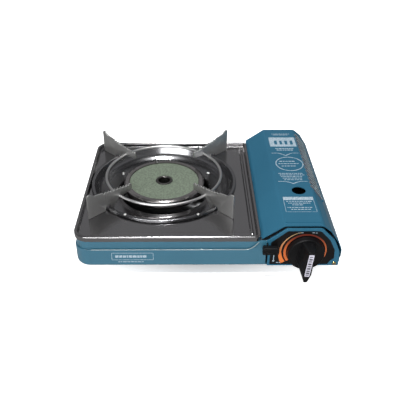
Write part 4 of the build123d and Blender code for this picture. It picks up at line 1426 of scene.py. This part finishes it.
@dataclass
class LidPrint(SubAssembly):
    """White print on the flat top of the cartridge lid, all of it wordless."""

    top_z: float = 73.2
    ring_centre: tuple[float, float] = (124.5, 39.6)
    ring_r: float = 20.1
    chevron_x: tuple[float, float, float] = (101.5, 122.4, 143.2)
    chevron_reach: float = 12.0
    ink: float = 0.07

    def build(self) -> None:
        """Make the block, the lines, the ring and the rows of bars."""
        face = Face((0.0, 0.0, self.top_z), (1.0, 0.0, 0.0), (0.0, 1.0, 0.0))
        parts = [
            self.block(face),
            self.chevron(face, 72.6, 8.0),
            self.chevron(face, -10.4, 6.0),
            stroke(face, arc_line(self.ring_centre, self.ring_r, 0, 357, 120), 1.3, self.ink, True),
            self.panel(face),
        ]
        rows = {
            3: ((108.5, 110.5), (141.0, 139.5), (137.0, 133.6), 0.8),
            5: ((109.0, 110.5), (140.5, 139.0), (87.2, 82.2), 1.2),
            7: (
                (104.5, 106.0, 107.0, 109.0, 111.0), (143.0, 142.5, 141.5, 140.0, 138.0),
                (11.6, 7.2, 2.8, -1.6, -6.0), 0.75,
            ),
            9: ((110.0, 108.0, 112.0), (140.0, 141.5, 137.0), (47.0, 40.0, 33.0), 0.9),
        }
        for seed, (left, right, levels, height) in rows.items():
            centres, halves = dash_rows(seed, left, right, levels, height)
            parts.append(plaques(face, centres, halves, self.ink))
        self.piece("lid_print", join(parts), Body.LID, Slot.PAINT, "white_ink")

    def block(self, face: Face) -> tuple[Array, list]:
        """White block with a row of four openings through it.

        Args:
            face: face it lies on.

        Returns:
            Points and faces.
        """
        bars_x = [(102.0, 109.5), (114.0, 118.0), (122.0, 126.0), (130.5, 134.5), (139.0, 143.6)]
        centres = [((a + b) / 2, 107.0) for a, b in bars_x]
        halves = [((b - a) / 2, 6.5) for a, b in bars_x]
        centres += [(122.8, 119.0), (122.8, 97.2)]
        halves += [(20.8, 5.5), (20.8, 3.3)]
        return plaques(face, np.array(centres), np.array(halves), self.ink)

    def chevron(self, face: Face, level: float, dip: float) -> tuple[Array, list]:
        """Thin line that dips to a soft point in its middle.

        Args:
            face: face it lies on.
            level: height of its ends.
            dip: depth of the point.

        Returns:
            Points and faces.
        """
        left, middle, right = self.chevron_x
        x = np.linspace(left, right, 81)
        near = np.clip(1 - np.abs(x - middle) / self.chevron_reach, 0, 1)
        line = np.stack([x, level - dip * near**1.4], -1)
        return stroke(face, line, 0.9 + 0.7 * near, self.ink)

    def panel(self, face: Face) -> tuple[Array, list]:
        """Outlined panel with a solid header and five short rows.

        Args:
            face: face it lies on.

        Returns:
            Points and faces.
        """
        low, high, left, right = -86.4, -51.0, 102.6, 143.4
        frame = np.array([(left, low), (right, low), (right, high), (left, high)], float)
        edge = stroke(face, evened(frame, 1.0, True), 0.5, self.ink, True)
        header = plaques(face, np.array([(123.0, -54.7)]), np.array([(20.3, 3.6)]), self.ink)
        rows = dash_rows(
            11, (106.0, 108.0, 113.0, 105.5, 110.0), (141.5, 139.0, 132.0, 142.0, 137.0),
            (-61.8, -66.0, -70.2, -76.4, -80.8), 0.75,
        )
        return join([edge, header, plaques(face, *rows, self.ink)])


@dataclass
class Louvres(SubAssembly):
    """Raised hoods over the slanted slots in the lid's shoulder, open towards the front, painted lighter
    as highlight, with dark strips of painted shade in their mouths.
    """

    origin: tuple[float, float, float] = (153.9, 0.0, 67.4)
    normal: tuple[float, float] = (9.7, 11.5)
    first_y: float = -32.0
    pitch: float = 10.4
    count: int = 16
    turn: float = 38.0
    half: float = 14.0
    mouth: float = 3.6
    tail: float = -1.6
    height: float = 2.4
    sunk: float = 0.9
    lip: float = 0.7
    recess: float = 0.12

    def hood(self) -> Array:
        """Section of a hood: place across it, fixed height and share of the rise.

        Returns:
            Corners of the closed section.
        """
        m, tail, sunk = self.mouth, self.tail, self.sunk
        front = [(m, -sunk, 0), (m, 0, 1), (m - self.lip, 0.05, 1)]
        return np.array(front + [(tail, 0, 0.1), (tail, -sunk, 0)])

    def dark(self) -> Array:
        """Section of the dark strip of painted shade under a hood's front edge, in the same terms."""
        near, far = self.mouth, self.mouth + self.recess
        return np.array([(near, -0.5, 0), (far, -0.5, 0), (far, -0.15, 0.84), (near, -0.15, 0.84)])

    def build(self) -> None:
        """Make the hoods, in a lighter paint as painted highlight, and the dark strips of painted shade
        under their front edges.

        Along a hood the height follows the fourth root of 1 - t^4, with t
        from -1 at one end to 1 at the other, so both ends sink into the lid.
        """
        nx, nz = np.array(self.normal) / math.hypot(*self.normal)
        out, along, upslope = np.array([nx, 0, nz]), np.array([0.0, 1, 0]), np.array([-nz, 0, nx])
        c, s = math.cos(math.radians(self.turn)), math.sin(math.radians(self.turn))
        run, across = c * along + s * upslope, -s * along + c * upslope
        t = np.linspace(-1, 1, 21)
        rise = self.height * np.maximum(1 - t**4, 0.0) ** 0.25
        # the hoods take the painted highlight enamel, the mouths a dark painted shade
        for name, section, finish in (
            ("louvre_hoods", self.hood(), "highlight_enamel"), ("louvre_painted_shade", self.dark(), "dark_ink_and_shade")
        ):
            made = []
            level = section[None, :, 1] + section[None, :, 2] * rise[:, None]
            for index in range(self.count):
                middle = np.array(self.origin) + along * (self.first_y + index * self.pitch)
                line = middle + run * (t * self.half)[:, None]
                points = line[:, None] + across * section[None, :, :1] + out * level[..., None]
                made.append((points.reshape(-1, 3), tube_faces(len(t), len(section))))
            self.piece(name, join(made), Body.LID, Slot.PAINT, finish)


@dataclass
class LedgeBead(SubAssembly):
    """Rounded edge of the step round the casing, painted a light grey-teal as its highlight, sweeping up
    to the plate's corner.
    """

    wall_y: float = -121.5
    left: float = -152.0
    sweep: tuple[float, float, float, float] = (48.0, 38.0, 65.0, 50.2)
    stand: float = 0.25
    radius: float = 0.75

    def build(self) -> None:
        """Make the bead: a straight run, then a rise that starts level and steepens."""
        x0, z0, x1, z1 = self.sweep
        straight, curved = 30, 16
        share = np.linspace(0, 1, curved)[1:]
        x = np.concatenate([np.linspace(self.left, x0, straight), x0 + (x1 - x0) * share])
        z = np.concatenate([np.full(straight, z0), z0 + (z1 - z0) * share**2])
        path = np.stack([x, np.full(len(x), self.wall_y + self.stand), z], -1)
        bead = tube(path, self.radius, 14)
        # painted highlight: the bead wears the lighter highlight enamel
        self.piece("ledge_bead", bead, Body.STOVE, Slot.PAINT, "highlight_enamel", 50.0)


@dataclass
class Studio:
    """Floor, lamps and the camera, whose lens is given as focal length over picture width."""

    place: tuple[float, float, float] = (-19.27, -701.46, 501.46)
    yaw: float = 0.013587
    down: float = 0.58718
    roll: float = 0.00574
    lens: float = 571.08 / 400.0
    sensor_mm: float = 36.0
    floor_side: float = 6.0
    floor_z: float = -0.0003

    def build(self) -> None:
        """Make everything round the object."""
        self.floor()
        self.world()
        self.lamps()
        self.camera()

    def floor(self) -> None:
        """Pale floor just under the feet, painted near-black as shadow under the stove, and dull grey
        where it is seen in the steel.
        """
        side, level = self.floor_side, self.floor_z
        mesh = bpy.data.meshes.new("floor")
        corners = [(x * side, y * side, level) for x, y in ((-1, -1), (1, -1), (1, 1), (-1, 1))]
        mesh.from_pydata(corners, [], [(0, 1, 2, 3)])
        ground = bpy.data.objects.new("floor", mesh)
        bpy.context.scene.collection.objects.link(ground)
        g = Graph("floor_white")
        away = g.length(g.place(), (5.2, 6.2, 0.0))
        seen = g.node("ShaderNodeLightPath", output="Is Camera Ray")
        mirrored = g.node("ShaderNodeLightPath", output="Is Glossy Ray")
        x, y, _ = g.axes(g.place())
        # painted shadow: under the stove's footprint the floor is turned near-black and its glow is left
        # out
        under_stove_shadow = ((1.0 - (x * 6.1) ** 4 - ((y - 0.02) * 8.0) ** 4) * 6.0).bounded()
        glow = (away * 1.6 - 0.9).bounded() * seen * (1.0 - under_stove_shadow)
        pale = g.mix(under_stove_shadow, (0.9, 0.9, 0.9), (0.02, 0.02, 0.02))
        g.feed("Base Color", g.mix(mirrored, pale, (0.28, 0.28, 0.28)))
        g.feed("Roughness", 0.9)
        g.feed("Specular IOR Level", 0.0)
        g.feed("Emission Color", g.mix(glow, (0.0, 0.0, 0.0), (1.0, 1.0, 1.0)))
        g.feed("Emission Strength", 1.0)
        mesh.materials.append(g.material)

    def world(self) -> None:
        """Dim surroundings, lightest half way up, so that bare steel has dark and light bands."""
        world = bpy.data.worlds.new("studio")
        g = Graph("studio", world)
        height = g.axes(g.node("ShaderNodeTexCoord", output="Generated"))[2]
        stops = [(0.0, 0.05), (0.12, 0.05), (0.42, 0.30), (0.62, 0.30), (0.80, 0.10), (1.0, 0.06)]
        ramp = {"stops": [(place, (level, level, level * 1.03)) for place, level in stops]}
        bands = g.node("ShaderNodeValToRGB", ramp, [height])
        seen = g.node("ShaderNodeLightPath", output="Is Camera Ray")
        g.feed("Color", g.mix(seen, bands, (1.0, 1.0, 1.0)))
        g.feed("Strength", 1.0)
        bpy.context.scene.world = world

    def lamps(self) -> None:
        """Soft boxes overhead and in front: name, place, target, size in metres and watts."""
        boxes = (
            ("overhead", (-0.04, -0.10, 1.5), (0.0, 0.0, 0.0), (0.22, 0.16), 17.0),
            ("front", (-0.6, -1.7, 0.9), (0.0, 0.0, 0.03), (1.6, 0.7), 32.0),
        )
        for name, place, target, size, power in boxes:
            lamp = bpy.data.lights.new(name, "AREA")
            lamp.shape = "RECTANGLE"
            lamp.size, lamp.size_y = size
            lamp.energy = power
            holder = bpy.data.objects.new(name, lamp)
            bpy.context.scene.collection.objects.link(holder)
            aim = np.array(target) - np.array(place)
            holder.location = place
            holder.rotation_euler = Vector(aim).to_track_quat("-Z", "Y").to_euler()

    def camera(self) -> None:
        """Camera in front of the stove, looking down at it."""
        p, y = self.down, self.yaw
        forward = np.array([math.sin(y) * math.cos(p), math.cos(y) * math.cos(p), -math.sin(p)])
        right = np.array([math.cos(y), -math.sin(y), 0.0])
        up = np.cross(right, forward)
        c, s = math.cos(self.roll), math.sin(self.roll)
        right, up = c * right + s * up, c * up - s * right
        matrix = np.eye(4)
        matrix[:3, 0], matrix[:3, 1], matrix[:3, 2] = right, up, -forward
        matrix[:3, 3] = np.array(self.place) * MM
        data = bpy.data.cameras.new("camera")
        data.sensor_width = self.sensor_mm
        data.lens = self.lens * self.sensor_mm
        data.clip_start, data.clip_end = 0.01, 50.0
        holder = bpy.data.objects.new("camera", data)
        bpy.context.scene.collection.objects.link(holder)
        holder.matrix_world = Matrix(matrix.tolist())
        bpy.context.scene.camera = holder


DRESS = {
    "teal_enamel": ("panel_frame", "lid"),
    "teal_shell_lit": ("casing",),
    "foot_rubber": ("foot_front_left", "foot_front_right", "foot_back_left", "foot_back_right"),
    "zinc_plate": (
        "foot_screws", "divider", "ceramic_seat", "burner_strap", "bay_bulkhead", "governor_cap",
        "governor_bracket", "collar_plate", "hinge_leaves", "hinge_pins", "lever_bracket",
        "lid_hinge_leaves", "spindle", "lever_arm", "lever_pin", "lever_link", "cartridge_pusher",
        "mixing_tube",
    ),
    "plate_steel": ("top_plate",),
    "cup_steel": ("burner_cup",),
    "eyelet_steel": ("centre_eyelet",),
    "burner_ceramic": ("ceramic_plate",),
    "glazed_ceramic": ("electrode_insulator",),
    "black_plastic": ("knob", "lever_tab", "igniter"),
    "panel_black": ("dial_inlay",),
    "label_foil": ("knob_label",),
    "lead_silicone": ("ignition_lead",),
    "die_casting": ("governor_body", "heat_plate"),
    "brass": ("panel_screw", "gas_jet"),
    "bright_screw": ("well_screws", "well_rivets", "electrode_wire"),
}


def dress_nodes(finishes: Finishes) -> None:
    """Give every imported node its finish.

    Args:
        finishes: finishes to take from.
    """
    for finish, nodes in DRESS.items():
        for node in nodes:
            packed = frame["nodes"][node]
            packed.data.materials.clear()
            packed.data.materials.append(finishes[finish])
            LOG.info("node %s dressed in %s", node, finish)


def main() -> None:
    """Build and dress the stove, then the studio round it."""
    logging.basicConfig(level=logging.INFO, format="%(name)s %(message)s")
    scene = bpy.context.scene
    scene.view_settings.view_transform = "Standard"
    low, high = box_mm("support_ring")
    centre = (float(low[0] + high[0]) / 2, float(low[1] + high[1]) / 2)
    Studio().build()
    finishes = Finishes(centre)
    finishes.make_all()
    dress_nodes(finishes)
    for group in (TopPlate, BurnerWell, WellFasteners, PanSupport):
        group(finishes, centre).build()
    for group in (DialPanel, KnobPrint, WallPrint, LidPrint, Louvres, LedgeBead):
        group(finishes).build()


if __name__ == "__main__":
    main()
